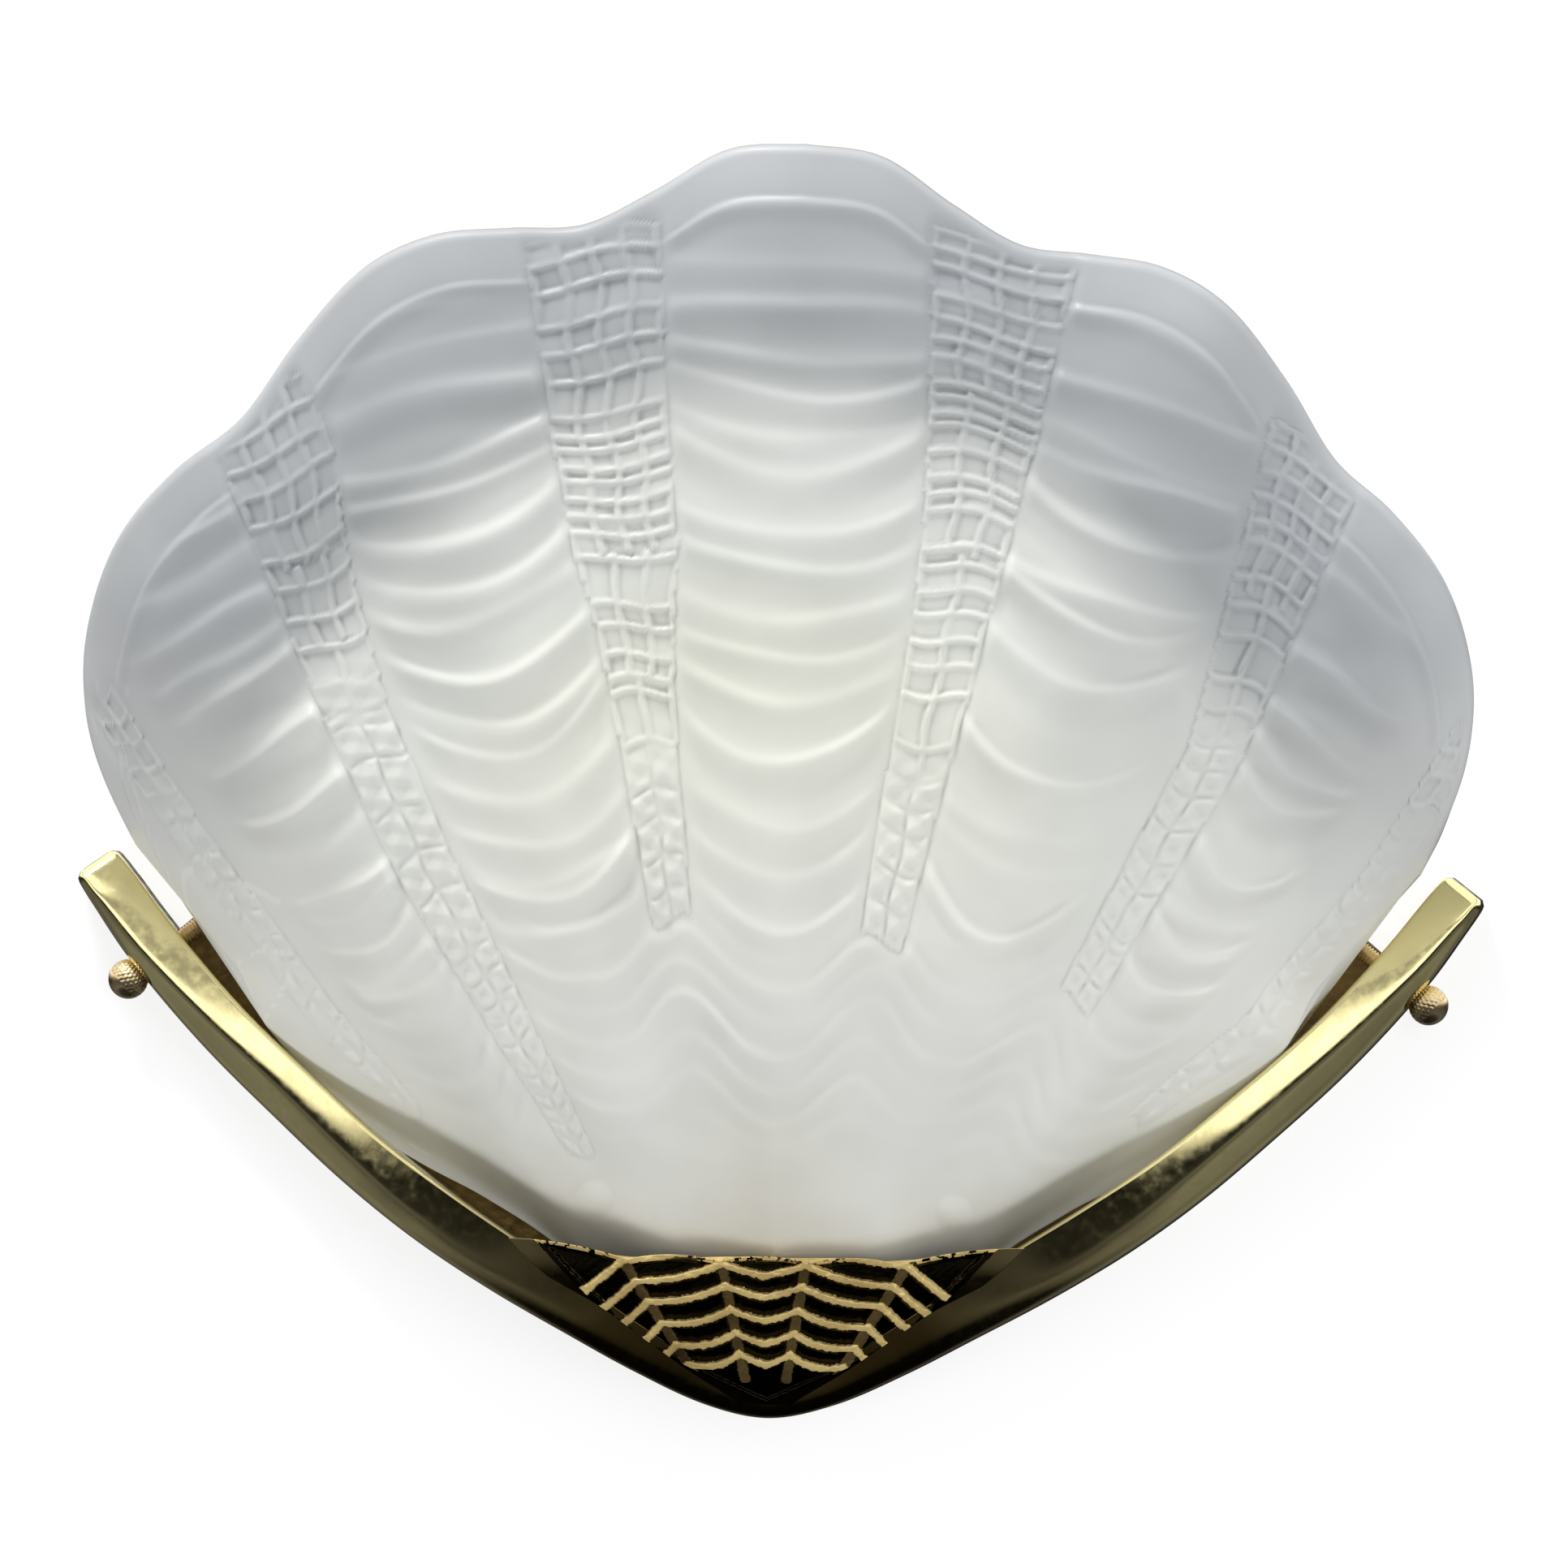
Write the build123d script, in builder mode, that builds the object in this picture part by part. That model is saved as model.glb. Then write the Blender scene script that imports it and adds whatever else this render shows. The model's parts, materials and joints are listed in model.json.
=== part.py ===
from build123d import *
import os
from math import asin, cos, degrees, hypot, pi, radians, sin, sqrt

# Shell wall sconce: a pressed glass scallop shade in a cast brass bracket.
# Frame: +Z up, the wall is the plane Y = 0 and the room is on the -Y side.
# The origin is the centre of the two wall screws, on the wall.
# "Depth" always means the distance out from the wall, so Y = -depth.

os.makedirs("parts", exist_ok=True)

# ---------------------------------------------------------------- heights (mm)
APEX_Z = -90.0            # lowest point of the bracket
FOCUS_Z = APEX_Z - 39.8   # point that the shell's flutes fan out from
CUP_LIP_Z = APEX_Z + 34.6
RELIEF_FOCUS_Z = APEX_Z - 15.0

# ---------------------------------------------------------------- glass shade
SHADE_DEPTH = 112.0       # rim's distance from the wall at the middle
SHADE_SPREAD = 41.6       # degrees from the middle flute to where the shell meets the wall
SHADE_LEAN = 1.6          # degrees that the flutes lean to the right of upright
GLASS_THICKNESS = 5.0
GLASS_BACK_GAP = 8.0      # the shade's back edge stands about this far off the wall
BACK_EDGE_WIDTH = 3.5
BACK_EDGE_EASE = 3.0      # how softly the faces turn into the back edge
FLUTE_PITCH = 24.0        # degrees round the half-round shell from flute to flute
FLUTE_SWELL = 3.2         # how far a flute stands out of the mean surface at the rim
SECTION_TURNS = [*range(0, 61, 6), *range(66, 79, 3)]  # degrees round the shell, closer at its edge
PROFILE_STEPS = [0, 0.03, 0.09, 0.2, 0.4, 0.65, 0.85, 1]
BEAD_ANGLE = 24.2         # where the two beads end the outer tile bands
BEAD_REACH = 93.5
BEAD_RADIUS = 4.2
BEAD_SINK = 0.8

# angle from the middle (degrees), distance of the rim from the focus
RIM_REACH = [
    (0, 310), (3, 308.6), (6, 300.5), (9, 294.6), (12, 296), (15, 297.6), (18, 294.5), (21.5, 284.5),
    (25, 273.5), (28.5, 269.5), (32, 263.5), (35, 254), (37.5, 242), (39.5, 226), (41.6, 196),
]
# angle from the middle (degrees), distance of the shade's foot from the focus
FOOT_REACH = [(0, 49), (10, 52), (20, 62), (29, 80), (33, 95), (36.5, 109), (38.6, 121), (41.6, 149)]
# share of the way from foot to rim, share of the full depth
BELLY = [(0, 0.1), (0.03, 0.18), (0.09, 0.32), (0.2, 0.52), (0.4, 0.75), (0.65, 0.91), (0.85, 0.975), (1, 1)]

# ---------------------------------------------------------------- bracket
# x, height above the apex, width and depth of the rounded bar, from apex to tip
BAR_STATIONS = [
    (0, 3.9, 7.6, 23), (12, 6.6, 8, 25), (26, 13.8, 9.6, 29), (40, 22.2, 11.2, 32), (56, 31.8, 12.6, 32),
    (72, 42, 13, 28), (86.5, 52.6, 12.6, 23), (100.5, 64.7, 12.3, 19.5), (117.5, 80.6, 12, 17),
    (133, 98, 11.8, 16), (141.5, 109.4, 11, 15.2), (144.6, 113.6, 8, 13), (145.8, 115.2, 4, 10),
]
BAR_ROUND = 5.0           # height of the rounded front of the bar
FLANGE_WIDTH = 7.0        # the flange inside the bar that backs the shade's edge
FLANGE_DEPTHS = (2.6, 5.0)
FLANGE_FOOT_HEIGHT = 40.0  # above the apex: higher up, the flange follows the bar
WEB_TOP_Z = APEX_Z + 33
WEB_HALF = 28.0           # half width of the web that fills the foot of the V
# height above the apex, half width, depth at the middle, depth at the ends
PANEL_STATIONS = [(3, 8, 22.5, 21), (12, 24, 29.5, 25), (22, 38, 36.5, 29), (31, 51, 41.5, 31), (40, 60, 45, 31)]
PANEL_WALL = 3.4
PANEL_RECESS = 1.4
PANEL_HALF = 44.0         # half width of the V at the lip
PANEL_LOW_Z = APEX_Z + 4.2
RIDGE_ANGLES = [-32, -10.5, 10.5, 32]
RIDGE_WIDTH = 2.2
RIDGE_REACH = (22.5, 60.0)
RELIEF_HALF_ANGLE = 57.0
CORD_RADII = [27.2, 31.7, 36.6, 41.6, 46.2, 51.0]
CORD_SPREAD = 0.0028      # share by which a cord moves out, per degree from the middle
CORD_WIDTH = 1.7
# x and height above the lip's line where two scallops of the lip meet, and how far each one rises
SCALLOP_MEETINGS = [(-70, 1.5), (-29, -1), (-9.5, -1), (9.5, -1), (29, -1), (70, 1.5)]
SCALLOP_RISE = 1.2
CUT_HEIGHT = 9.0          # the cut that shapes the lip reaches this far above it

# ---------------------------------------------------------------- thumb screws
SCREW_X = 131.3
SCREW_Z = APEX_Z + 95.8
SCREW_DEPTH = 9.0
SCREW_SLOPE = 38.0        # degrees that the screw climbs towards the glass
STUD_RADIUS = 2.0
STUD_REACH = 10.4         # from the bar's centre to the stud's end at the glass
KNOB_GAP = 3.2            # from the bar's centre to the knob's collar
SEAT_REACH = 2.8          # from the bar's centre to the floor of the dished seat round the collar
SEAT_RADIUS = 3.7
SEAT_MOUTH = 5.0          # radius of the seat's mouth
SEAT_FLARE = 2.6          # length over which the seat widens to its mouth
SEAT_END = 16.0
BALL_RADIUS = 4.25
RUNNING_GAP = 0.06

# ---------------------------------------------------------------- wall strap
STRAP_WIDTH = 30.0
STRAP_THICKNESS = 2.5
STRAP_LOW_Z = APEX_Z + 8.5
STRAP_HIGH_Z = 62.0
WALL_HOLE_Z = 50.0
WALL_HOLE_RADIUS = 2.6
CABLE_HOLE_RADIUS = 5.0
GROMMET_BORE_RADIUS = 3.2
STRAP_SCREW_X = 8.0
STRAP_SCREW_Z = APEX_Z + 24
STRAP_SCREW_HEAD = 3.7    # radius
M4_RADIUS = 2.0

# ---------------------------------------------------------------- lamp
LAMP_DEPTH = 38.0         # lamp axis from the wall
LEG_Z = -17.0             # underside of the lamp bracket's leg
LEG_THICKNESS = 2.0
HOLDER_RADIUS = 12.5
SLEEVE_RADIUS = 7.2       # inside of the threaded sleeve
BULB_RADIUS = 17.5
BULB_TOP_Z = 101.0
BULB_NECK_Z = 23.0
NECK_RADIUS = 6.2
CAP_RADIUS = 6.95
STEM_TOP_Z = 44.0
CAP_TOP_Z = -3.0          # joint between the lampholder's cap and its body
BODY_TOP_Z = 25.0
CONTACT_Z = 3.5           # where the bulb's tip meets the centre contact
LEG_WIDTH = 16.0
BRACKET_SCREW_Z = -25.0
NIPPLE_RADIUS = 5.0

# ---------------------------------------------------------------- wiring
WIRE_RADIUS = 1.0
WIRE_X = 5.0
WIRE_ENTRY_Z = -8.0
M3_RADIUS = 1.5
EARTH_X = -10.0
EARTH_Z = -38.0
BLOCK_BACK = STRAP_THICKNESS + 0.05
BLOCK_DEPTH = 11.0
BLOCK_WIDTH = 22.0
BLOCK_HEIGHT = 20.0
BLOCK_Z = 26.0


def through(points, place):
    """Smooth value at a place, on a curve through the given (place, value) points."""
    last = len(points) - 1
    step = 0
    while step < last - 1 and place > points[step + 1][0]:
        step += 1
    (x0, y0), (x1, y1) = points[step], points[step + 1]
    slopes = []
    for end in (step, step + 1):
        before, after = points[max(end - 1, 0)], points[min(end + 1, last)]
        slopes.append((after[1] - before[1]) / (after[0] - before[0]))
    t = (place - x0) / (x1 - x0)
    rise = (x1 - x0) * (slopes[0] * t * (1 - t) ** 2 - slopes[1] * t * t * (1 - t))
    return y0 + (y1 - y0) * t * t * (3 - 2 * t) + rise


def shell_depth(turn, reach, narrowing=0.0):
    """Depth of the shell's surface. turn is the angle round the half-round shell, in degrees."""
    angle = SHADE_SPREAD * abs(sin(radians(turn)))
    foot = through(FOOT_REACH, angle)
    share = max(0.0, (reach - foot) / (through(RIM_REACH, angle) - foot))
    across = min(1.0, angle / (SHADE_SPREAD - narrowing))
    swell = FLUTE_SWELL * sqrt(share) * cos(2 * pi * turn / FLUTE_PITCH)
    return (SHADE_DEPTH * through(BELLY, min(share, 1.0)) + swell) * sqrt(1 - across * across)


def fan_aim(turn):
    """Direction from the focus, in radians from upright, at an angle round the shell."""
    return radians(SHADE_SPREAD * sin(radians(turn)) + SHADE_LEAN * cos(radians(turn)) ** 2)


def bead_centre(side):
    """Centre of the round bead that ends one of the outer tile bands."""
    turn = side * degrees(asin(BEAD_ANGLE / SHADE_SPREAD))
    depth = shell_depth(turn, BEAD_REACH) - BEAD_SINK
    aim = fan_aim(turn)
    return (BEAD_REACH * sin(aim), -depth, FOCUS_Z + BEAD_REACH * cos(aim))


def inner_depth(turn, reach):
    """Depth of the inside face, one glass thickness inside the shell's surface."""
    narrowing = GLASS_THICKNESS / reach * 180 / pi
    return shell_depth(turn, reach - GLASS_THICKNESS, narrowing) - 0.8 * GLASS_THICKNESS


def eased(depth, floor):
    """Depth that turns softly into the floor where it would fall below it."""
    above = depth - floor
    return floor + (above + hypot(above, BACK_EDGE_EASE)) / 2


def lamp_plane(height):
    """Horizontal plane whose origin is on the lamp's axis."""
    return Plane(origin=(0, -LAMP_DEPTH, height))


LAMP_AXIS = Axis((0, -LAMP_DEPTH, 0), (0, 0, 1))
LAMP_PROFILE = Plane(origin=(0, -LAMP_DEPTH, 0), x_dir=(1, 0, 0), z_dir=(0, -1, 0))

# ---------------------------------------------------------------- glass shade
with BuildPart() as glass_shade:
    for turn in [-turn for turn in SECTION_TURNS[:0:-1]] + SECTION_TURNS:
        angle = SHADE_SPREAD * abs(sin(radians(turn)))
        aim = fan_aim(turn)
        foot = through(FOOT_REACH, angle)
        rim = through(RIM_REACH, angle)
        reaches = [foot + share * (rim - foot) for share in PROFILE_STEPS]
        front_floor = GLASS_BACK_GAP + BACK_EDGE_WIDTH
        outer = [(reach, eased(shell_depth(turn, reach), front_floor)) for reach in reaches]
        inner = [(reach, eased(inner_depth(turn, reach), GLASS_BACK_GAP)) for reach in reaches]
        radial = Plane(origin=(0, 0, FOCUS_Z), x_dir=(sin(aim), 0, cos(aim)), z_dir=(cos(aim), 0, -sin(aim)))
        with BuildSketch(radial):
            with BuildLine():
                Spline(*outer)
                Line(outer[-1], inner[-1])
                Spline(*reversed(inner))
                Line(inner[0], outer[0])
            make_face()
    loft()
    with Locations(bead_centre(-1), bead_centre(1)):
        Sphere(BEAD_RADIUS)


def screw_axis(side):
    """Axis of one thumb screw, pointing out of the glass. side is -1 on the left, 1 on the right."""
    slope = radians(SCREW_SLOPE)
    return Axis((side * SCREW_X, -SCREW_DEPTH, SCREW_Z), (side * cos(slope), 0, -sin(slope)))


def screw_plane(side, out):
    """Plane square to a thumb screw, at a distance out from the middle of the bar."""
    axis = screw_axis(side)
    return Plane(origin=axis.position + axis.direction * out, x_dir=(0, -1, 0), z_dir=axis.direction)


def screw_profile(side):
    """Plane along a thumb screw's axis: its x is the distance from the axis, its y the distance out."""
    axis = screw_axis(side)
    return Plane(origin=axis.position, x_dir=(0, -1, 0), z_dir=Vector(0, -1, 0).cross(axis.direction))


# ---------------------------------------------------------------- bracket casting
def bar_stations():
    """Stations of the whole bar, from the left tip through the apex to the right tip."""
    left = [(-x, height, width, depth) for x, height, width, depth in reversed(BAR_STATIONS[1:])]
    return left + BAR_STATIONS


def bar_frames():
    """Centre, direction along the bar, width and depth at each station."""
    stations = bar_stations()
    frames = []
    for index, (x, height, width, depth) in enumerate(stations):
        before = stations[max(index - 1, 0)]
        after = stations[min(index + 1, len(stations) - 1)]
        length = hypot(after[0] - before[0], after[1] - before[1])
        run = (after[0] - before[0]) / length
        climb = (after[1] - before[1]) / length
        frames.append(((x, APEX_Z + height), (run, climb), width, depth))
    return frames


with BuildPart() as bar:
    for (x, z), (run, climb), width, depth in bar_frames():
        section = Plane(origin=(x, 0, z), x_dir=(-climb, 0, run), z_dir=(run, 0, climb))
        half = width / 2
        shoulder = depth - min(BAR_ROUND, 0.9 * half)
        with BuildSketch(section):
            with BuildLine():
                Polyline((-half, shoulder), (-half, 0), (half, 0), (half, shoulder))
                ThreePointArc((half, shoulder), (0, depth), (-half, shoulder))
            make_face()
    loft()

# Flange inside the bar: it backs the shade's edge, and fills the foot of the V as a web.
with BuildPart() as flange:
    with BuildSketch(Plane.XZ.offset(FLANGE_DEPTHS[0])):
        frames = bar_frames()[3:-3]
        centres = [centre for centre, direction, width, depth in frames]
        inner_edge = []
        for (x, z), (run, climb), width, depth in frames:
            inset = width / 2 + FLANGE_WIDTH
            if z - APEX_Z > FLANGE_FOOT_HEIGHT:
                inner_edge.append((x - climb * inset, z + run * inset))
        right_edge = [point for point in inner_edge if point[0] > 0]
        with BuildLine():
            Polyline(*centres)
            Line(centres[-1], right_edge[-1])
            Polyline(*reversed(right_edge), (WEB_HALF, WEB_TOP_Z), (-WEB_HALF, WEB_TOP_Z))
            Polyline((-WEB_HALF, WEB_TOP_Z), *[(-x, z) for x, z in right_edge])
            Line((-right_edge[-1][0], right_edge[-1][1]), centres[0])
        make_face()
    extrude(amount=FLANGE_DEPTHS[1] - FLANGE_DEPTHS[0])


def panel_loft(skin):
    """Front panel of the cup, with its outer face moved in by skin."""
    with BuildPart() as shape:
        for height, half, middle, end in PANEL_STATIONS:
            back_half = half - 1
            with BuildSketch(Plane.XY.offset(APEX_Z + height)):
                with BuildLine():
                    ThreePointArc((-half, skin - end), (0, skin - middle), (half, skin - end))
                    Line((half, skin - end), (back_half, PANEL_WALL - end))
                    ThreePointArc((back_half, PANEL_WALL - end), (0, PANEL_WALL - middle),
                                  (-back_half, PANEL_WALL - end))
                    Line((-back_half, PANEL_WALL - end), (-half, skin - end))
                make_face()
        loft()
    return shape.part


def fan_point(reach, angle):
    """Point of the cup relief's fan, in the bracket's front view."""
    return (reach * sin(radians(angle)), RELIEF_FOCUS_Z + reach * cos(radians(angle)))


def cord_point(radius, angle):
    """Point of a hanging cord, given the cord's radius in the middle of the fan."""
    return fan_point(radius * (1 + CORD_SPREAD * abs(angle)), angle)


with BuildSketch(Plane.XZ) as panel_v:
    with BuildLine():
        Polyline((0, PANEL_LOW_Z), (PANEL_HALF, CUP_LIP_Z - 5), (PANEL_HALF + 4, CUP_LIP_Z + 4),
                 (-PANEL_HALF - 4, CUP_LIP_Z + 4), (-PANEL_HALF, CUP_LIP_Z - 5), close=True)
    make_face()

# Cast relief: radial ridges between five small flutes, and rows of hanging cords across them.
with BuildSketch(Plane.XZ) as relief_lines:
    for angle in RIDGE_ANGLES:
        with BuildLine():
            ridge = Line(fan_point(RIDGE_REACH[0], angle), fan_point(RIDGE_REACH[1], angle))
        trace(ridge, line_width=RIDGE_WIDTH)
    edges = [-RELIEF_HALF_ANGLE] + RIDGE_ANGLES + [RELIEF_HALF_ANGLE]
    for radius in CORD_RADII:
        for left, right in zip(edges, edges[1:]):
            with BuildLine():
                middle = (left + right) / 2
                cord = ThreePointArc(cord_point(radius + 1.2, left), cord_point(radius - 0.6, middle),
                                     cord_point(radius + 1.2, right))
            trace(cord, line_width=CORD_WIDTH)

with BuildPart() as relief:
    add(panel_loft(0))
    extrude(relief_lines.sketch, amount=60, mode=Mode.INTERSECT)
    extrude(panel_v.sketch, amount=60, mode=Mode.INTERSECT)

with BuildPart() as bracket_casting:
    add(panel_loft(0))
    extrude(panel_v.sketch, amount=60, mode=Mode.SUBTRACT)
    add(panel_loft(PANEL_RECESS))
    add(relief.part)
    with BuildSketch(Plane.XZ):
        with BuildLine():
            scallops = [(x, CUP_LIP_Z + height) for x, height in SCALLOP_MEETINGS]
            (left, low), (right, low) = scallops[0], scallops[-1]
            Polyline((left, low), (left, CUP_LIP_Z + CUT_HEIGHT), (right, CUP_LIP_Z + CUT_HEIGHT), (right, low))
            for start, end in zip(scallops, scallops[1:]):
                middle = ((start[0] + end[0]) / 2, max(start[1], end[1]) + SCALLOP_RISE)
                ThreePointArc(start, middle, end)
        make_face()
    extrude(amount=70, mode=Mode.SUBTRACT)
    add(bar.part)
    add(flange.part)
    # pocket in the back for the wall strap
    with BuildSketch(Plane.XZ):
        with Locations((0, STRAP_LOW_Z + 40)):
            Rectangle(STRAP_WIDTH + 0.6, 80.6)
    extrude(amount=FLANGE_DEPTHS[0], mode=Mode.SUBTRACT)
    # tapped holes in the web for the two screws that come through the strap from behind
    with BuildSketch(Plane.XZ.offset(FLANGE_DEPTHS[0])):
        with Locations((-STRAP_SCREW_X, STRAP_SCREW_Z), (STRAP_SCREW_X, STRAP_SCREW_Z)):
            Circle(M4_RADIUS + 0.05)
    extrude(amount=FLANGE_DEPTHS[1] - FLANGE_DEPTHS[0], mode=Mode.SUBTRACT)
    # holes across the bar for the thumb screws, each with a dished seat round the knob's collar
    for side in (-1, 1):
        with BuildSketch(screw_plane(side, -20)):
            Circle(STUD_RADIUS + RUNNING_GAP)
        extrude(amount=40, mode=Mode.SUBTRACT)
        with BuildSketch(screw_profile(side)):
            with BuildLine():
                Polyline((0, SEAT_REACH), (SEAT_RADIUS, SEAT_REACH), (SEAT_MOUTH, SEAT_REACH + SEAT_FLARE),
                         (SEAT_MOUTH, SEAT_END), (0, SEAT_END), close=True)
            make_face()
        revolve(axis=screw_axis(side), mode=Mode.SUBTRACT)

# ---------------------------------------------------------------- wall strap
with BuildPart() as back_strap:
    with BuildSketch(Plane.XZ):
        with Locations((0, (STRAP_LOW_Z + STRAP_HIGH_Z) / 2)):
            RectangleRounded(STRAP_WIDTH, STRAP_HIGH_Z - STRAP_LOW_Z, 4)
        with Locations((0, -WALL_HOLE_Z), (0, WALL_HOLE_Z)):
            Circle(WALL_HOLE_RADIUS, mode=Mode.SUBTRACT)
        Circle(CABLE_HOLE_RADIUS, mode=Mode.SUBTRACT)
        with Locations((0, BRACKET_SCREW_Z)):
            Circle(M4_RADIUS + 0.05, mode=Mode.SUBTRACT)
        with Locations((0, BLOCK_Z), (EARTH_X, EARTH_Z)):
            Circle(M3_RADIUS + 0.05, mode=Mode.SUBTRACT)
    extrude(amount=STRAP_THICKNESS)
    fillet(back_strap.faces().sort_by(Axis.Y)[0].outer_wire().edges(), 0.6)
    # countersinks in the back
    with Locations(Plane(origin=(0, 0, 0), x_dir=(-1, 0, 0), z_dir=(0, 1, 0))):
        with Locations((-STRAP_SCREW_X, STRAP_SCREW_Z), (STRAP_SCREW_X, STRAP_SCREW_Z)):
            CounterSinkHole(M4_RADIUS + 0.05, STRAP_SCREW_HEAD + 0.1)

# Two countersunk screws, from behind through the strap into the casting's web.
with BuildPart() as strap_screws:
    for side in (-1, 1):
        centre = (side * STRAP_SCREW_X, 0, STRAP_SCREW_Z)
        with BuildSketch(Plane(origin=centre, x_dir=(1, 0, 0), z_dir=(0, 0, 1))):
            with BuildLine():
                tip = 0.2 - FLANGE_DEPTHS[1]
                sink = -0.1 - (STRAP_SCREW_HEAD - M4_RADIUS)
                Polyline((0, -0.1), (STRAP_SCREW_HEAD, -0.1), (M4_RADIUS, sink), (M4_RADIUS, tip), (0, tip),
                         close=True)
            make_face()
        revolve(axis=Axis(centre, (0, 1, 0)))
        with BuildSketch(Plane.XZ.offset(1)):
            with Locations((centre[0], centre[2])):
                Rectangle(5.6, 0.9, rotation=30 * side)
        extrude(amount=-2, mode=Mode.SUBTRACT)


def pan_screw(x, z, seat, radius, head_radius, head_height):
    """Slotted pan-head screw along Y: its head sits at depth seat, and its tip is near the wall."""
    with BuildPart() as screw:
        with BuildSketch(Plane.XZ.offset(0.2)):
            with Locations((x, z)):
                Circle(radius)
        extrude(amount=seat - 0.2)
        with BuildSketch(Plane.XZ.offset(seat)):
            with Locations((x, z)):
                Circle(head_radius)
        extrude(amount=head_height)
        fillet(screw.edges().group_by(Axis.Y)[0], 0.45 * head_height)
        with BuildSketch(Plane.XZ.offset(seat + 0.55 * head_height)):
            with Locations((x, z)):
                Rectangle(2.2 * head_radius, 0.8, rotation=25)
        extrude(amount=head_height, mode=Mode.SUBTRACT)
    return screw.part


# Rubber grommet where the supply cable comes through the strap.
with BuildPart() as cable_grommet:
    with BuildSketch(Plane.YX):
        with BuildLine():
            Polyline((-0.2, GROMMET_BORE_RADIUS), (-0.2, CABLE_HOLE_RADIUS - 0.1),
                     (-STRAP_THICKNESS - 0.1, CABLE_HOLE_RADIUS - 0.1), (-STRAP_THICKNESS - 0.1, 7),
                     (-STRAP_THICKNESS - 1.6, 7), (-STRAP_THICKNESS - 2.2, 6.2),
                     (-STRAP_THICKNESS - 2.2, GROMMET_BORE_RADIUS), close=True)
        make_face()
    revolve(axis=Axis((0, 0, 0), (0, 1, 0)))

# ---------------------------------------------------------------- lamp bracket and nipple
with BuildPart() as lamp_bracket:
    foot_low = BRACKET_SCREW_Z - 6
    with BuildSketch(Plane.YZ.offset(-LEG_WIDTH / 2)):
        with BuildLine():
            foot_front = -STRAP_THICKNESS - LEG_THICKNESS
            leg_top = LEG_Z + LEG_THICKNESS
            outer = FilletPolyline((-STRAP_THICKNESS, foot_low), (-STRAP_THICKNESS, leg_top),
                                   (-LAMP_DEPTH - 8, leg_top), radius=3.5)
            inner = FilletPolyline((-LAMP_DEPTH - 8, LEG_Z), (foot_front, LEG_Z), (foot_front, foot_low),
                                   radius=1.5)
            Line(outer @ 1, inner @ 0)
            Line(inner @ 1, outer @ 0)
        make_face()
    extrude(amount=LEG_WIDTH)
    fillet(lamp_bracket.edges().filter_by(Axis.Z).group_by(Axis.Y)[0], 5)
    with Locations(lamp_plane(leg_top)):
        Hole(NIPPLE_RADIUS + 0.1)
    with Locations(Plane.XZ.offset(foot_front * -1)):
        with Locations((0, BRACKET_SCREW_Z)):
            Hole(M4_RADIUS + 0.1)

bracket_screw = pan_screw(0, BRACKET_SCREW_Z, STRAP_THICKNESS + LEG_THICKNESS, M4_RADIUS, 3.6, 2.4)

with BuildPart() as lamp_nipple:
    with BuildSketch(lamp_plane(LEG_Z - 6)):
        Circle(NIPPLE_RADIUS)
        Circle(3.6, mode=Mode.SUBTRACT)
    extrude(amount=6 + LEG_THICKNESS + 7)

with BuildPart() as nipple_washer:
    with BuildSketch(lamp_plane(LEG_Z - 0.8)):
        Circle(8.5)
        Circle(NIPPLE_RADIUS + 0.1, mode=Mode.SUBTRACT)
    extrude(amount=0.8)

with BuildPart() as nipple_nut:
    with BuildSketch(lamp_plane(LEG_Z - 4.3)):
        RegularPolygon(radius=7, side_count=6, major_radius=False)
        Circle(NIPPLE_RADIUS + 0.05, mode=Mode.SUBTRACT)
    extrude(amount=3.5)

# ---------------------------------------------------------------- lampholder
holder_low = LEG_Z + LEG_THICKNESS
with BuildPart() as lampholder_cap:
    with BuildSketch(LAMP_PROFILE):
        with BuildLine():
            Polyline((NIPPLE_RADIUS + 0.05, holder_low), (9.5, holder_low), (HOLDER_RADIUS + 0.8, holder_low + 3),
                     (HOLDER_RADIUS + 0.8, CAP_TOP_Z), (HOLDER_RADIUS - 0.8, CAP_TOP_Z),
                     (HOLDER_RADIUS - 0.8, holder_low + 3.6), (9, holder_low + 1.8),
                     (NIPPLE_RADIUS + 0.05, holder_low + 1.8), close=True)
        make_face()
    revolve(axis=LAMP_AXIS)
    with BuildSketch(Plane.XZ.offset(LAMP_DEPTH - HOLDER_RADIUS - 5)):
        with Locations((-WIRE_X, WIRE_ENTRY_Z), (WIRE_X, WIRE_ENTRY_Z)):
            Circle(WIRE_RADIUS + 0.3)
    extrude(amount=10, mode=Mode.SUBTRACT)

with BuildPart() as lampholder_body:
    with BuildSketch(LAMP_PROFILE):
        with BuildLine():
            Polyline((0, CAP_TOP_Z + 0.05), (HOLDER_RADIUS, CAP_TOP_Z + 0.05), (HOLDER_RADIUS, BODY_TOP_Z - 5),
                     (HOLDER_RADIUS - 1.5, BODY_TOP_Z), (SLEEVE_RADIUS + 0.65, BODY_TOP_Z),
                     (SLEEVE_RADIUS + 0.65, CAP_TOP_Z + 3), (0, CAP_TOP_Z + 3), close=True)
        make_face()
    revolve(axis=LAMP_AXIS)

with BuildPart() as lampholder_insulator:
    with BuildSketch(lamp_plane(CAP_TOP_Z + 3.05)):
        Circle(SLEEVE_RADIUS - 0.3)
    extrude(amount=1.5)

with BuildPart() as lampholder_contact:
    with BuildSketch(lamp_plane(CAP_TOP_Z + 4.6)):
        SlotOverall(9, 4)
    extrude(amount=0.5)
    with BuildSketch(lamp_plane(CAP_TOP_Z + 5.1)):
        Circle(2.2)
    extrude(amount=CONTACT_Z - CAP_TOP_Z - 5.1, taper=12)

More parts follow.
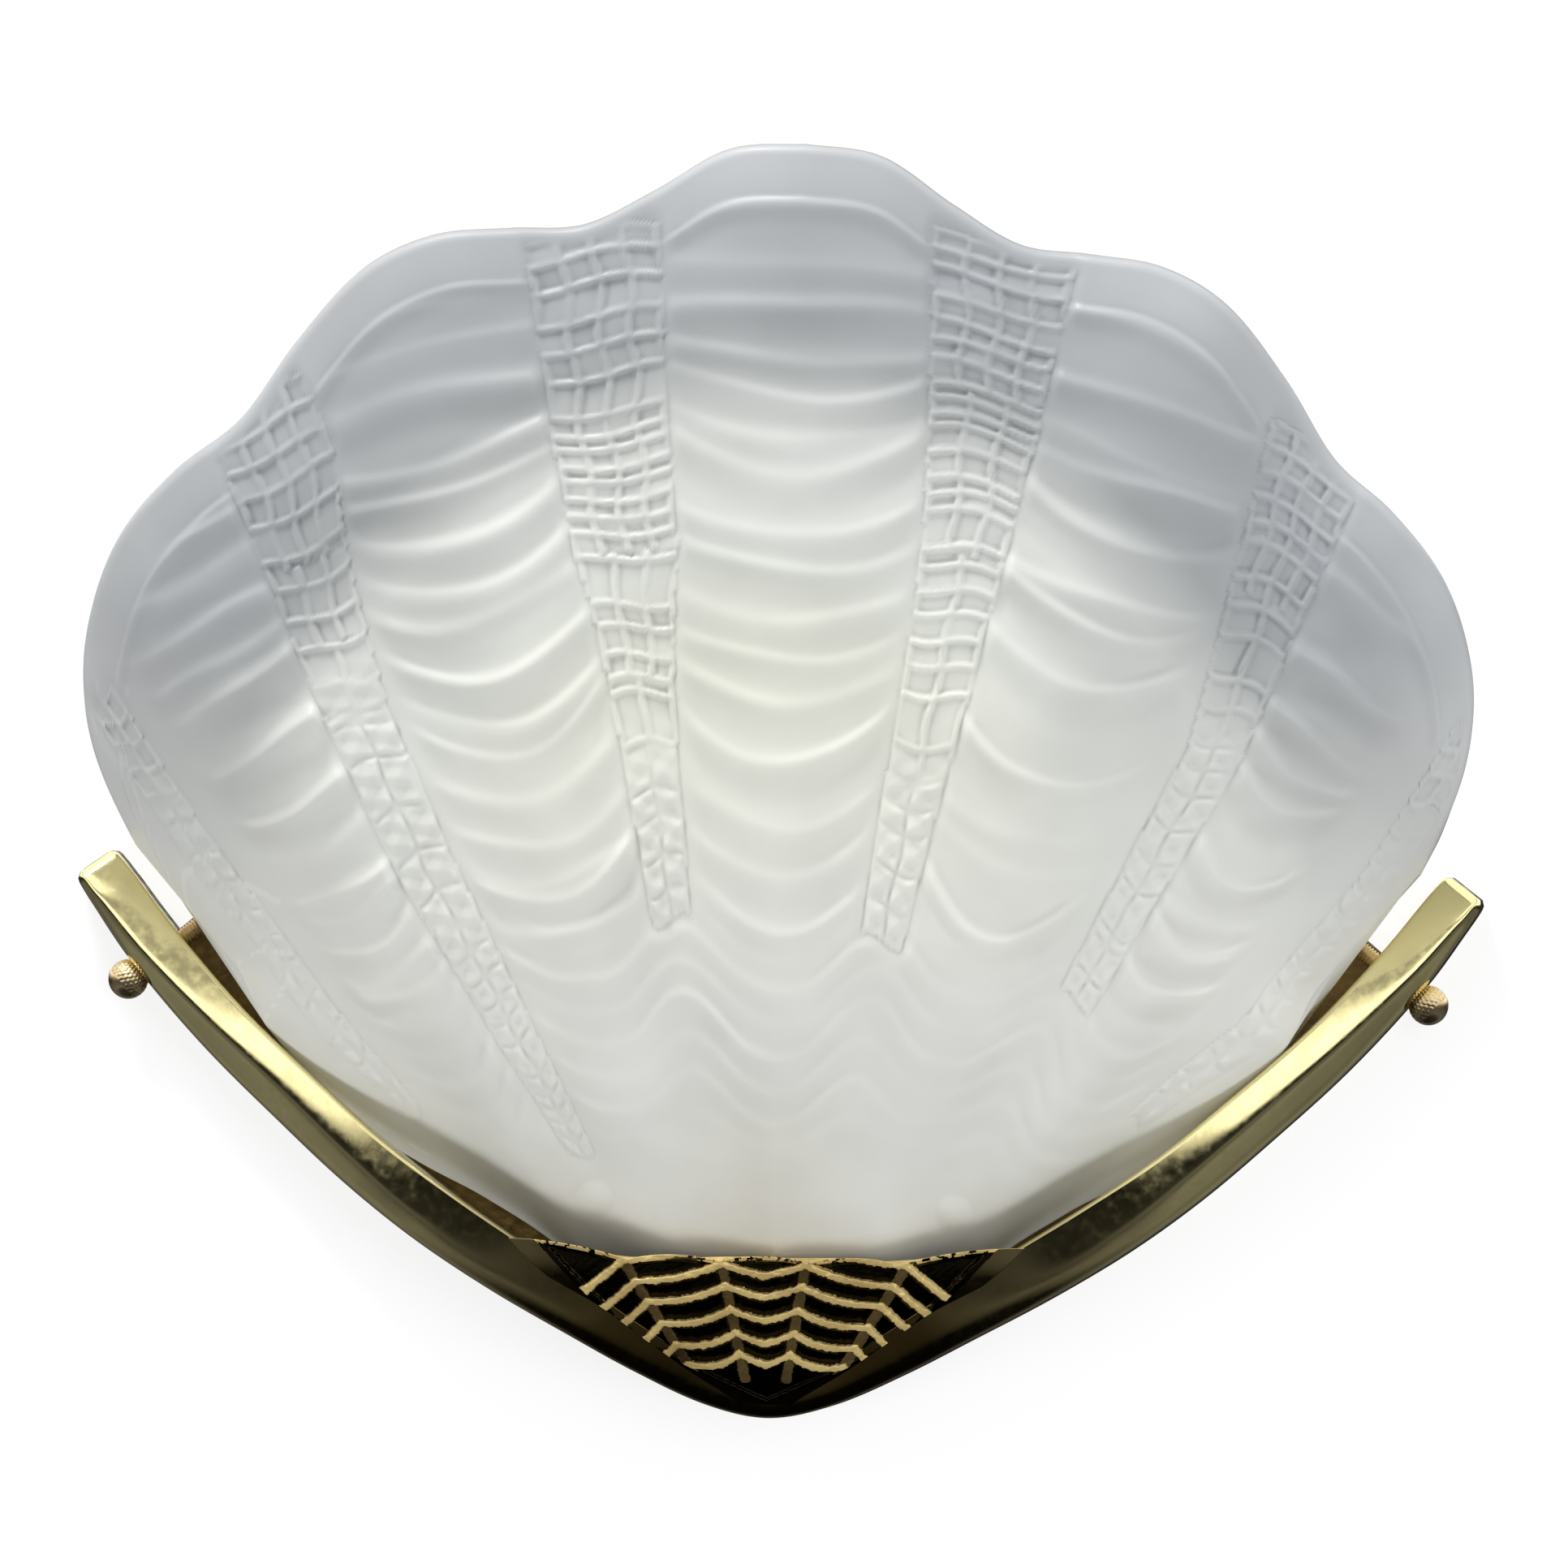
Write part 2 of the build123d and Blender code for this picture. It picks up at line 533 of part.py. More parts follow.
with BuildPart() as lampholder_sleeve:
    with BuildSketch(lamp_plane(CAP_TOP_Z + 4.7)):
        Circle(SLEEVE_RADIUS + 0.6)
        Circle(SLEEVE_RADIUS, mode=Mode.SUBTRACT)
    extrude(amount=BODY_TOP_Z + 0.8 - CAP_TOP_Z - 4.7)

# ---------------------------------------------------------------- bulb
with BuildPart() as bulb_contact:
    with BuildSketch(lamp_plane(CONTACT_Z + 0.05)):
        Circle(1.8)
    extrude(amount=1, taper=-20)

with BuildPart() as bulb_insulator:
    with BuildSketch(lamp_plane(CONTACT_Z + 1.1)):
        Circle(3.4)
    extrude(amount=1.8, taper=-35)

with BuildPart() as bulb_cap:
    with BuildSketch(LAMP_PROFILE):
        with BuildLine():
            Polyline((4.8, CONTACT_Z + 3), (CAP_RADIUS, CONTACT_Z + 4.5), (CAP_RADIUS, BULB_NECK_Z + 2),
                     (CAP_RADIUS - 0.5, BULB_NECK_Z + 2), (CAP_RADIUS - 0.5, CONTACT_Z + 4.9),
                     (4.8, CONTACT_Z + 3.6), close=True)
        make_face()
    revolve(axis=LAMP_AXIS)

with BuildPart() as bulb_envelope:
    belly_z = BULB_NECK_Z + 0.5 * (BULB_TOP_Z - BULB_NECK_Z)
    for skin, mode in ((0, Mode.ADD), (0.8, Mode.SUBTRACT)):
        with BuildSketch(LAMP_PROFILE):
            with BuildLine():
                base = Line((0, BULB_NECK_Z + skin), (NECK_RADIUS - skin, BULB_NECK_Z + skin))
                neck = Line(base @ 1, (NECK_RADIUS - skin, BULB_NECK_Z + 6))
                side = Spline(neck @ 1, (BULB_RADIUS - skin, belly_z), (9 - skin, BULB_TOP_Z - 13),
                              (0, BULB_TOP_Z - skin), tangents=[(0, 1), (-1, 0.25)])
                Line(side @ 1, base @ 0)
            make_face()
        revolve(axis=LAMP_AXIS, mode=mode)

with BuildPart() as bulb_stem:
    with BuildSketch(LAMP_PROFILE):
        with BuildLine():
            Polyline((0, BULB_NECK_Z + 0.9), (4.6, BULB_NECK_Z + 0.9), (2.2, BULB_NECK_Z + 8), (1.6, STEM_TOP_Z),
                     (0, STEM_TOP_Z), close=True)
        make_face()
    revolve(axis=LAMP_AXIS)

with BuildPart() as bulb_leads:
    for side in (-1, 1):
        with BuildLine() as lead:
            FilletPolyline((side * 1.8, -LAMP_DEPTH, STEM_TOP_Z - 6), (side * 3.2, -LAMP_DEPTH, STEM_TOP_Z + 4),
                           (side * 7, -LAMP_DEPTH, STEM_TOP_Z + 14), radius=6)
        with BuildSketch(Plane(origin=lead.line @ 0, z_dir=lead.line % 0)):
            Circle(0.3)
        sweep(path=lead.line)

with BuildPart() as bulb_filament:
    with BuildLine() as coil:
        FilletPolyline((-6.9, -LAMP_DEPTH, STEM_TOP_Z + 14.5), (-3.5, -LAMP_DEPTH, STEM_TOP_Z + 20),
                       (0, -LAMP_DEPTH, STEM_TOP_Z + 15), (3.5, -LAMP_DEPTH, STEM_TOP_Z + 20),
                       (6.9, -LAMP_DEPTH, STEM_TOP_Z + 14.5), radius=1)
    with BuildSketch(Plane(origin=coil.line @ 0, z_dir=coil.line % 0)):
        Circle(0.35)
    sweep(path=coil.line)

# ---------------------------------------------------------------- terminal block and wires
BLOCK_FACE = BLOCK_BACK + BLOCK_DEPTH
with BuildPart() as terminal_block:
    with BuildSketch(Plane.XZ.offset(BLOCK_BACK)):
        with Locations((0, BLOCK_Z)):
            RectangleRounded(BLOCK_WIDTH, BLOCK_HEIGHT, 1)
    extrude(amount=BLOCK_DEPTH)
    with BuildSketch(Plane.XZ.offset(BLOCK_FACE)):
        with GridLocations(2 * WIRE_X + 2, 10, 2, 2):
            with Locations((0, BLOCK_Z)):
                Circle(2)
    extrude(amount=-4.5, mode=Mode.SUBTRACT)
    with Locations(Plane.XZ.offset(BLOCK_FACE)):
        with Locations((0, BLOCK_Z)):
            Hole(M3_RADIUS + 0.1)
    with BuildSketch(Plane.XY.offset(BLOCK_Z - BLOCK_HEIGHT / 2)):
        with Locations((-WIRE_X - 1, -BLOCK_BACK - 4), (WIRE_X + 1, -BLOCK_BACK - 4)):
            Circle(WIRE_RADIUS + 0.3)
    extrude(amount=BLOCK_HEIGHT, mode=Mode.SUBTRACT)

with BuildPart() as terminal_screws:
    with BuildSketch(Plane.XZ.offset(BLOCK_FACE - 4.4)):
        with GridLocations(2 * WIRE_X + 2, 10, 2, 2):
            with Locations((0, BLOCK_Z)):
                Circle(1.7)
    extrude(amount=3)
    with BuildSketch(Plane.XZ.offset(BLOCK_FACE - 2.2)):
        with GridLocations(2 * WIRE_X + 2, 10, 2, 2):
            with Locations((0, BLOCK_Z)):
                Rectangle(5, 0.6)
    extrude(amount=2, mode=Mode.SUBTRACT)

block_screw = pan_screw(0, BLOCK_Z, BLOCK_FACE, M3_RADIUS, 2.7, 1.8)


def lamp_wire(side):
    """One insulated wire, from the terminal block down to the lampholder's side entry."""
    with BuildPart() as wire:
        with BuildLine() as route:
            FilletPolyline((side * (WIRE_X + 1), -BLOCK_BACK - 4, BLOCK_Z - BLOCK_HEIGHT / 2 + 4),
                           (side * (WIRE_X + 1), -BLOCK_BACK - 4, WIRE_ENTRY_Z + 4),
                           (side * WIRE_X, -BLOCK_BACK - 10, WIRE_ENTRY_Z),
                           (side * WIRE_X, -LAMP_DEPTH + 7, WIRE_ENTRY_Z), radius=[6, 6])
        with BuildSketch(Plane(origin=route.line @ 0, z_dir=route.line % 0)):
            Circle(WIRE_RADIUS)
        sweep(path=route.line)
    return wire.part


earth_screw = pan_screw(EARTH_X, EARTH_Z, STRAP_THICKNESS + 0.8, M3_RADIUS, 2.9, 1.8)
with BuildPart() as earth_washer:
    with BuildSketch(Plane.XZ.offset(STRAP_THICKNESS)):
        with Locations((EARTH_X, EARTH_Z)):
            Circle(4)
            Circle(M3_RADIUS + 0.1, mode=Mode.SUBTRACT)
    extrude(amount=0.8)


# ---------------------------------------------------------------- thumb screws
def thumb_stud(side):
    """Threaded stud across the bar: its inner end presses on the glass."""
    with BuildPart() as stud:
        with BuildSketch(screw_plane(side, -STUD_REACH)):
            Circle(STUD_RADIUS)
        extrude(amount=STUD_REACH + KNOB_GAP + 5)
        chamfer(stud.edges(), 0.4)
    return stud.part


def thumb_knob(side):
    """Turned ball knob on the stud's outer end: collar, neck, knurled band and domed end."""
    with BuildPart() as knob:
        ball = KNOB_GAP + 2.2 + 0.8 * BALL_RADIUS
        with BuildSketch(screw_profile(side)):
            with BuildLine():
                dome = CenterArc((0, ball), BALL_RADIUS, 18, 72)
                Polyline(dome @ 1, (0, KNOB_GAP), (3.1, KNOB_GAP), (3.1, KNOB_GAP + 1.2), (2.3, KNOB_GAP + 1.5),
                         (2.3, KNOB_GAP + 2.2), (3.4, ball - 2.3), (BALL_RADIUS, ball - 1.6),
                         (BALL_RADIUS, ball + 0.6), dome @ 0)
            make_face()
        revolve(axis=screw_axis(side))
        with BuildSketch(screw_plane(side, KNOB_GAP)):
            Circle(STUD_RADIUS + RUNNING_GAP)
        extrude(amount=5.1, mode=Mode.SUBTRACT)
    return knob.part


pieces = {
    "glass_shade": glass_shade.part,
    "bracket_casting": bracket_casting.part,
    "back_strap": back_strap.part,
    "strap_screws": strap_screws.part,
    "cable_grommet": cable_grommet.part,
    "lamp_bracket": lamp_bracket.part,
    "bracket_screw": bracket_screw,
    "lamp_nipple": lamp_nipple.part,
    "nipple_washer": nipple_washer.part,
    "nipple_nut": nipple_nut.part,
    "lampholder_cap": lampholder_cap.part,
    "lampholder_body": lampholder_body.part,
    "lampholder_sleeve": lampholder_sleeve.part,
    "lampholder_insulator": lampholder_insulator.part,
    "lampholder_contact": lampholder_contact.part,
    "bulb_cap": bulb_cap.part,
    "bulb_insulator": bulb_insulator.part,
    "bulb_contact": bulb_contact.part,
    "bulb_envelope": bulb_envelope.part,
    "bulb_stem": bulb_stem.part,
    "bulb_leads": bulb_leads.part,
    "bulb_filament": bulb_filament.part,
    "terminal_block": terminal_block.part,
    "terminal_screws": terminal_screws.part,
    "block_screw": block_screw,
    "live_wire": lamp_wire(-1),
    "neutral_wire": lamp_wire(1),
    "earth_screw": earth_screw,
    "earth_washer": earth_washer.part,
    "left_stud": thumb_stud(-1),
    "left_knob": thumb_knob(-1),
    "right_stud": thumb_stud(1),
    "right_knob": thumb_knob(1),
}
for name, piece in pieces.items():
    piece.label = name
    export_step(piece, f"parts/{name}.step")
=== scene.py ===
import json
from math import cos, pi, radians, sin, tan

import bpy
import numpy as np
from mathutils import Matrix, Vector

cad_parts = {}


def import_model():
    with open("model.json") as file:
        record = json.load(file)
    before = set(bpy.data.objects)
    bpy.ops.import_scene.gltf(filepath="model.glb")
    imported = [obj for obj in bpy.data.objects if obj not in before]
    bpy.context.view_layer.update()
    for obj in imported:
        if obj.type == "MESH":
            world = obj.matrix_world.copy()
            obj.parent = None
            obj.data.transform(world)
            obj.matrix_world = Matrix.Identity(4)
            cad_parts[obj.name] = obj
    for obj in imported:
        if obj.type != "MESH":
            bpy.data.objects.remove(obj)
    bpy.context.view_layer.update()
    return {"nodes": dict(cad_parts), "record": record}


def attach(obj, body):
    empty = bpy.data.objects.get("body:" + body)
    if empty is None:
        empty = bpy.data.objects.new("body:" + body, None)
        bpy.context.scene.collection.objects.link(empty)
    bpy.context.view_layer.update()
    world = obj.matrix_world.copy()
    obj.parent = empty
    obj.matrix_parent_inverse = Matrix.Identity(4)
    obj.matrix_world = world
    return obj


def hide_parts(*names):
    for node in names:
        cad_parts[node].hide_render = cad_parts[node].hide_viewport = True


# Looks of the shell wall sconce: frosted glass relief, cast brass, turned thumb screws and a plain studio.
# Lengths are in millimetres until they reach Blender, which has metres. Depth is the distance from the wall.
MM = 0.001

# -------------------- driving sizes, as in the CAD source
APEX_Z = -90.0
FOCUS_Z = APEX_Z - 39.8
CUP_LIP_Z = APEX_Z + 34.6
RELIEF_FOCUS_Z = APEX_Z - 15.0
SHADE_DEPTH = 112.0
SHADE_SPREAD = 41.6
SHADE_LEAN = 1.6
GLASS_THICKNESS = 5.0
INNER_SETBACK = 0.8 * GLASS_THICKNESS
GLASS_BACK_GAP = 8.0
BACK_EDGE_WIDTH = 3.5
BACK_EDGE_EASE = 3.0
FLUTE_PITCH = 24.0
FLUTE_SWELL = 3.2
SHADE_END_TURN = 78.0
BEAD_ANGLE = 24.2
BEAD_REACH = 93.5
BEAD_RADIUS = 4.2
RIM_REACH = [
    (0, 310), (3, 308.6), (6, 300.5), (9, 294.6), (12, 296), (15, 297.6), (18, 294.5), (21.5, 284.5),
    (25, 273.5), (28.5, 269.5), (32, 263.5), (35, 254), (37.5, 242), (39.5, 226), (41.6, 196),
]
FOOT_REACH = [(0, 49), (10, 52), (20, 62), (29, 80), (33, 95), (36.5, 109), (38.6, 121), (41.6, 149)]
BELLY = [(0, 0.1), (0.03, 0.18), (0.09, 0.32), (0.2, 0.52), (0.4, 0.75), (0.65, 0.91), (0.85, 0.975), (1, 1)]

OUTER_COLUMNS = 560
OUTER_ROWS = 440
INNER_SKIP = 10               # the plain inside has one row of points for this many outside
SIDE_MARGIN = 3.5             # how far the plain margin widens towards the bar, below the thumb screws
SIDE_MARGIN_REACH = (161, 177)
SIDE_MARGIN_TURN = 60         # it widens from this angle round the shell to its end
FOOT_MARGIN = 1.9             # how far the plain margin goes down beside the cup
FOOT_MARGIN_ANGLES = (18, 27)
FOOT_MARGIN_FADE = 14         # and how far up it fades out

# -------------------- relief pressed into the glass
# Folds across each flute: (distance of the fold's middle from the focus, how much higher its ends are,
# strength)
FLUTE_FOLDS = {
    0: [(297, -1, 0.5), (284.5, 0, 0.6), (277, -1.5, 1), (263.5, 4, 0.7), (256.5, 6, 1), (248, 6, 0.5),
        (240.5, 9, 1), (226, 9, 0.8), (219.5, 7, 0.8), (208, 7, 0.6), (200, 7, 0.6), (191, 8, 0.7),
        (179, 11, 0.9), (164, 10, 0.5), (154, 10, 0.5)],
    -1: [(288.5, -1.5, 0.5), (282, -1, 0.3), (275, 0, 0.4), (265.5, -1.5, 0.9), (250.5, 3, 1),
         (243.5, 4, 0.9), (233, 8, 0.9), (223, 8.5, 0.7), (215.5, 8, 0.8), (204.5, 8, 1), (194, 8, 0.6),
         (187, 10, 0.7), (177.5, 7, 0.5), (167, 7, 0.4), (159, 6, 0.6), (154, 9, 0.9), (146, 8, 0.6)],
    1: [(283, 0, 0.5), (269, 1, 0.8), (257, 1, 0.3), (251.5, 2.5, 1), (239, 8, 1), (225.6, 5, 0.9),
        (219.5, 8, 1), (207, 9, 0.8), (186, 9, 0.7), (172, 6, 0.3), (165, 6, 0.4), (151, 11, 1)],
    -2: [(256, 0, 0.5), (247, 0, 0.4), (238, 0, 0.5), (230, 0, 0.5), (223, 1, 0.8), (208, 1, 1),
         (195, 2, 0.9), (185, 3, 0.3), (173.5, 4, 0.8), (169, 5, 0.5), (161, 5, 0.6), (153, 5, 0.9),
         (147, 6, 0.9), (142, 5, 0.5), (136, 5, 0.8)],
    2: [(250, 0, 0.4), (233, 0, 0.9), (219, 2, 0.6), (211, 4, 1), (204, 5, 0.8), (184, 8, 1), (177.5, 6, 0.5),
        (172, 6, 0.6), (167.5, 6, 0.7), (164, 6, 0.7), (155, 7, 0.9), (140, 4, 0.5)],
}
FOLD_TILT = {0: 0.0, -1: 0.1, 1: -0.12, -2: 0.25, 2: -0.55}   # mm up per degree to the right, near the rim
FOLD_TILT_REACH = (150, 260)  # the tilt grows between these distances from the focus
FOLD_HEIGHT = 1.55
FLUTE_STRENGTH = [0.62, 0.78, 1.3]   # middle, next and outer flutes
FOLD_SPREAD = (2.0, 3.4)      # how far a fold's crest spreads above and below its line
HOLLOW_DEPTH = 0.4            # the hollow below a fold: share of the fold's height, place and width
HOLLOW_DROP = 7.5
HOLLOW_WIDTH = 3.4
FOLD_WANDER = (0.9, 0.5)      # how far a fold strays from its line, in a slow and a quick wave
FOLD_SWELL = 0.3              # how much a fold's height comes and goes
FLUTE_SIDE = (0.86, 0.6)      # shares of a flute's half width between which its folds fade in

# Waves round the whole shell below the tiles: (distance from the focus, rise over the valleys, strength)
LOW_WAVES = [
    (143, 12, 1), (137, 12, 0.4), (131, 12, 0.9), (124, 11, 0.6), (117, 11, 1), (110, 9, 0.7), (103, 8, 0.9),
    (97, 6, 0.6),
]
WAVE_DRIFT = 0.3              # mm farther from the focus per degree from the middle
WAVES_TOP = 146.0
WAVE_HEIGHT = 0.8
WAVE_SPREAD = (2.2, 4.4)
WAVE_ARCH = 1.6               # how narrow the rise over a valley is
WAVE_WANDER = (0.8, 0.5)
WAVE_SWELL = 0.35
WAVES_SIDE = (36.5, 33.5)     # the waves fade in between these degrees from the middle
FOOT_PLAIN = (88, 96)         # the relief fades in between these distances from the focus

# Bands of pressed tiles: sides of the band at distances from the focus, rows between tiles, columns there,
# and the distance below which raised, creased tiles take over from ribs round hollow ones
TILE_BANDS = [
    dict(sides=[(294, -11.4, -5.9), (250, -11.6, -6.1), (225, -11.5, -6.0), (214, -11.0, -6.4),
                (195, -10.7, -6.9), (146, -10.3, -7.2)],
         rows=[293, 288, 282, 275, 269, 263, 255, 251, 248, 244, 241, 237, 233, 229.5, 224, 214, 209, 203,
               198, 195, 184, 174, 168, 160, 153, 147],
         columns=[(300, 4), (225, 3), (199, 2)], raised=196),
    dict(sides=[(294, 5.4, 11.5), (255, 6.4, 11.6), (228, 7.1, 11.5), (200, 7.2, 11.3), (144, 7.0, 10.6)],
         rows=[294, 290, 286, 280, 275, 271, 267, 262, 259, 256, 253.5, 248.5, 243, 240, 236.5, 229, 225,
               220, 215, 209.5, 204, 198, 187, 180, 174, 168.5, 160, 152, 144.5],
         columns=[(300, 4), (262, 3), (228, 2)], raised=196),
    dict(sides=[(278, -26.3, -22.0), (262, -26.6, -21.6), (235, -26.9, -22.9), (205, -27.4, -23.8),
                (170, -27.6, -23.6), (130, -26.3, -22.7), (103, -24.6, -21.8)],
         rows=[276, 270, 264, 258, 251, 243, 236, 229, 222, 214, 207, 204, 196, 184, 174, 165, 151, 145.5,
               140, 136, 131, 123, 118.5, 115, 111.5, 107.5, 103],
         columns=[(300, 4), (240, 3), (222, 2)], raised=226),
    dict(sides=[(277, 21.6, 26.4), (240, 23.2, 27.2), (205, 25.0, 28.2), (146, 24.4, 27.6)],
         rows=[274, 269, 264, 259, 254, 250, 243, 237, 231, 222, 216, 208, 203, 197, 189, 181, 174, 163,
               160, 152, 146],
         columns=[(300, 4), (240, 2)], raised=226),
    dict(sides=[(238, -37.9, -36.4), (200, -38.8, -36.8), (150, -38.4, -36.6), (125, -37.2, -35.8)],
         rows=[238, 232, 226, 220, 213, 206, 198, 190, 182, 175, 168, 160, 152, 144, 136, 128],
         columns=[(300, 2)], raised=226),
    dict(sides=[(240, 37.0, 38.7), (200, 38.2, 40.2), (160, 37.8, 39.8), (125, 34.8, 36.6)],
         rows=[240, 234, 228, 221, 214, 207, 200, 193, 186, 179, 172, 165, 158, 151, 144, 137, 130],
         columns=[(300, 2)], raised=226),
]
TILE_HEIGHT = 0.75
ROW_SKEW = 1.3                # how far the lines between rows stray
RIB_LEVEL = (0.95, 0.25)      # height of the ribs round hollow tiles, and how much it differs
FLOOR_LEVEL = 0.22            # how much the tiles' floors differ in height and in tilt, up and aside
FLOOR_TILT = (0.8, 0.5)
RAISED_LEVEL = 0.55           # height of a raised tile and of its creases, and its share of the floor's tilt
CREASE_LEVEL = 0.55
RAISED_TILT = 0.6
TILE_CHANGE = 26              # over this distance the raised tiles take over
RIB_FLANK_UP = (0.1, 1.25)    # distance from the line between two rows, where its rib slopes down
RIB_FLANK_ASIDE = (0.05, 1.0)   # the same for the line between two columns
CREASE_LENGTHS = (5.3, 7.1)   # two families of creases: mm from crease to crease, and degrees
CREASE_ANGLES = (3.1, 2.3)
BAND_FLANK = (-2.6, 0.9)      # distance inside a band's side, over which the flutes give way to it
TILE_RIM = 2.5                # the tiles end this far inside the rim
FIELD_STEP = 0.4              # how far the tile bands lie below the flutes' field
RIM_BAND = 13.0               # width of the plain band inside the rim
RIM_STEP = 0.5                # how far the plain band stands over the flutes' field
RIM_LINE = 0.9                # height of the line along its lower side
RIM_LINE_SPREAD = (0.9, 2.6)
RIM_ROLL = 2.2                # radius of the rolled rim
BEAD_RISE = 1.5               # height of the two round beads
PLAIN_SIDE = 7                # degrees over which the relief fades out at the back edges


def through(points, place):
    """Smooth values at places (an array), on a curve through the given (place, value) points."""
    points = np.array(points, float)
    places, values = points[:, 0], points[:, 1]
    slopes = np.empty_like(values)
    slopes[1:-1] = (values[2:] - values[:-2]) / (places[2:] - places[:-2])
    slopes[0] = (values[1] - values[0]) / (places[1] - places[0])
    slopes[-1] = (values[-1] - values[-2]) / (places[-1] - places[-2])
    step = np.clip(np.searchsorted(places, place, side="left") - 1, 0, len(places) - 2)
    width = places[step + 1] - places[step]
    t = (place - places[step]) / width
    rise = width * (slopes[step] * t * (1 - t) ** 2 - slopes[step + 1] * t * t * (1 - t))
    return values[step] + (values[step + 1] - values[step]) * t * t * (3 - 2 * t) + rise


def smooth(low, high, value):
    """0 below low, 1 above high, smooth between them."""
    t = np.clip((value - low) / (high - low), 0, 1)
    return t * t * (3 - 2 * t)


def rounded(distance, radius):
    """How far an edge rounded to a radius falls away, at a distance inside it."""
    return radius - np.sqrt(np.maximum(radius**2 - np.maximum(radius - distance, 0) ** 2, 0))


def shell_depth(turn, reach, narrowing=0.0):
    """Depth of the shell's surface, as in the CAD source."""
    angle = SHADE_SPREAD * np.abs(np.sin(np.radians(turn)))
    foot = through(FOOT_REACH, angle)
    share = np.maximum(0, (reach - foot) / (through(RIM_REACH, angle) - foot))
    across = np.minimum(1, angle / (SHADE_SPREAD - narrowing))
    swell = FLUTE_SWELL * np.sqrt(share) * np.cos(2 * pi * turn / FLUTE_PITCH)
    return (SHADE_DEPTH * through(BELLY, np.minimum(share, 1)) + swell) * np.sqrt(1 - across * across)


def fan_aim(turn):
    """Direction of the fan, from upright, at an angle round the shell."""
    return np.radians(SHADE_SPREAD * np.sin(np.radians(turn)) + SHADE_LEAN * np.cos(np.radians(turn)) ** 2)


def inner_depth(turn, reach):
    """Depth of the shell's plain inside."""
    narrowing = np.degrees(GLASS_THICKNESS / reach)
    return shell_depth(turn, reach - GLASS_THICKNESS, narrowing) - INNER_SETBACK


def eased(depth, floor):
    """Depth that never sinks under a floor and meets it in a soft bend."""
    above = depth - floor
    return floor + (above + np.hypot(above, BACK_EDGE_EASE)) / 2


def fan_place(turn, reach, depth):
    """Points in millimetres, from the angle round the shell, the distance from the focus and the depth."""
    aim = fan_aim(turn)
    return np.stack([reach * np.sin(aim), -depth, FOCUS_Z + reach * np.cos(aim)], axis=-1)


def ridge(distance, above, below):
    """A rounded ridge: sharp on its upper side, with a long soft shoulder on its lower side."""
    return np.exp(-np.where(distance > 0, distance / above, distance / below) ** 2)


def flute_relief(angle, turn, reach):
    """Height of the folds that cross the five flutes."""
    height = np.zeros_like(reach)
    for flute, folds in FLUTE_FOLDS.items():
        across = (turn - FLUTE_PITCH * flute) / (0.5 * FLUTE_PITCH)
        middle = SHADE_SPREAD * sin(radians(FLUTE_PITCH * flute))
        inside = smooth(*FLUTE_SIDE, np.abs(across))
        for place, sag, strength in folds:
            tilt = FOLD_TILT[flute] * (angle - middle) * smooth(*FOLD_TILT_REACH, place)
            slow, quick = np.sin(2.3 * across + 0.7 * place), np.sin(5.1 * across + 1.9 * place)
            wander = FOLD_WANDER[0] * slow + FOLD_WANDER[1] * quick
            line = place + sag * np.minimum(across * across / 0.5, 1.6) + tilt + wander
            swell = 1 + FOLD_SWELL * np.sin(2.9 * across + 1.3 * place)
            above, below = FOLD_SPREAD[0] + 0.4 * sin(place), FOLD_SPREAD[1] + 0.8 * cos(1.3 * place)
            crest = ridge(reach - line, above, below)
            crest -= HOLLOW_DEPTH * np.exp(-((reach - line + HOLLOW_DROP) / HOLLOW_WIDTH) ** 2)
            height += FLUTE_STRENGTH[abs(flute)] * strength * inside * swell * crest
    return FOLD_HEIGHT * height * smooth(WAVES_TOP - 2, WAVES_TOP + 6, reach)


def wave_relief(angle, turn, reach):
    """Height of the waves that run round the whole shell, high over the valleys and low over the flutes."""
    height = np.zeros_like(reach)
    for place, rise, strength in LOW_WAVES:
        arch = ((1 - np.cos(2 * pi * turn / FLUTE_PITCH)) / 2) ** WAVE_ARCH
        slow, quick = np.sin(0.11 * turn + 0.9 * place), np.sin(0.29 * turn + 1.7 * place)
        wander = WAVE_WANDER[0] * slow + WAVE_WANDER[1] * quick
        line = place + rise * arch + WAVE_DRIFT * np.abs(angle) + wander
        swell = 1 + WAVE_SWELL * np.sin(0.17 * turn + 1.1 * place)
        height += strength * swell * ridge(reach - line, *WAVE_SPREAD)
    return WAVE_HEIGHT * height * smooth(*WAVES_SIDE, np.abs(angle))


def zigzag(count):
    """Straight slopes down and up between 1 and 0, once in every count."""
    return 2 * np.abs(np.mod(count, 1) - 0.5)


def band_place(band, angle, reach):
    """How far across a band a place lies (0 to 1 inside it), and how wide the band is there."""
    sides = np.array(sorted(band["sides"]), float)
    left = np.interp(reach, sides[:, 0], sides[:, 1])
    right = np.interp(reach, sides[:, 0], sides[:, 2])
    return (angle - left) / (right - left), np.radians(right - left) * reach


def tile_shape(band, angle, reach, hollow, cell, floor):
    """Height inside a tile: high up a hollow with ribs round it, lower down a raised tile with creases."""
    ribs = (1 - hollow) * (RIB_LEVEL[0] + RIB_LEVEL[1] * np.sin(1.3 * cell)) + hollow * floor
    one_way = zigzag(reach / CREASE_LENGTHS[0] + angle / CREASE_ANGLES[0])
    other_way = zigzag(reach / CREASE_LENGTHS[1] - angle / CREASE_ANGLES[1] + 0.3)
    raised = RAISED_LEVEL + hollow * (CREASE_LEVEL * (one_way + other_way) + RAISED_TILT * floor)
    change = smooth(band["raised"], band["raised"] - TILE_CHANGE, reach)
    return ribs + (raised - ribs) * change


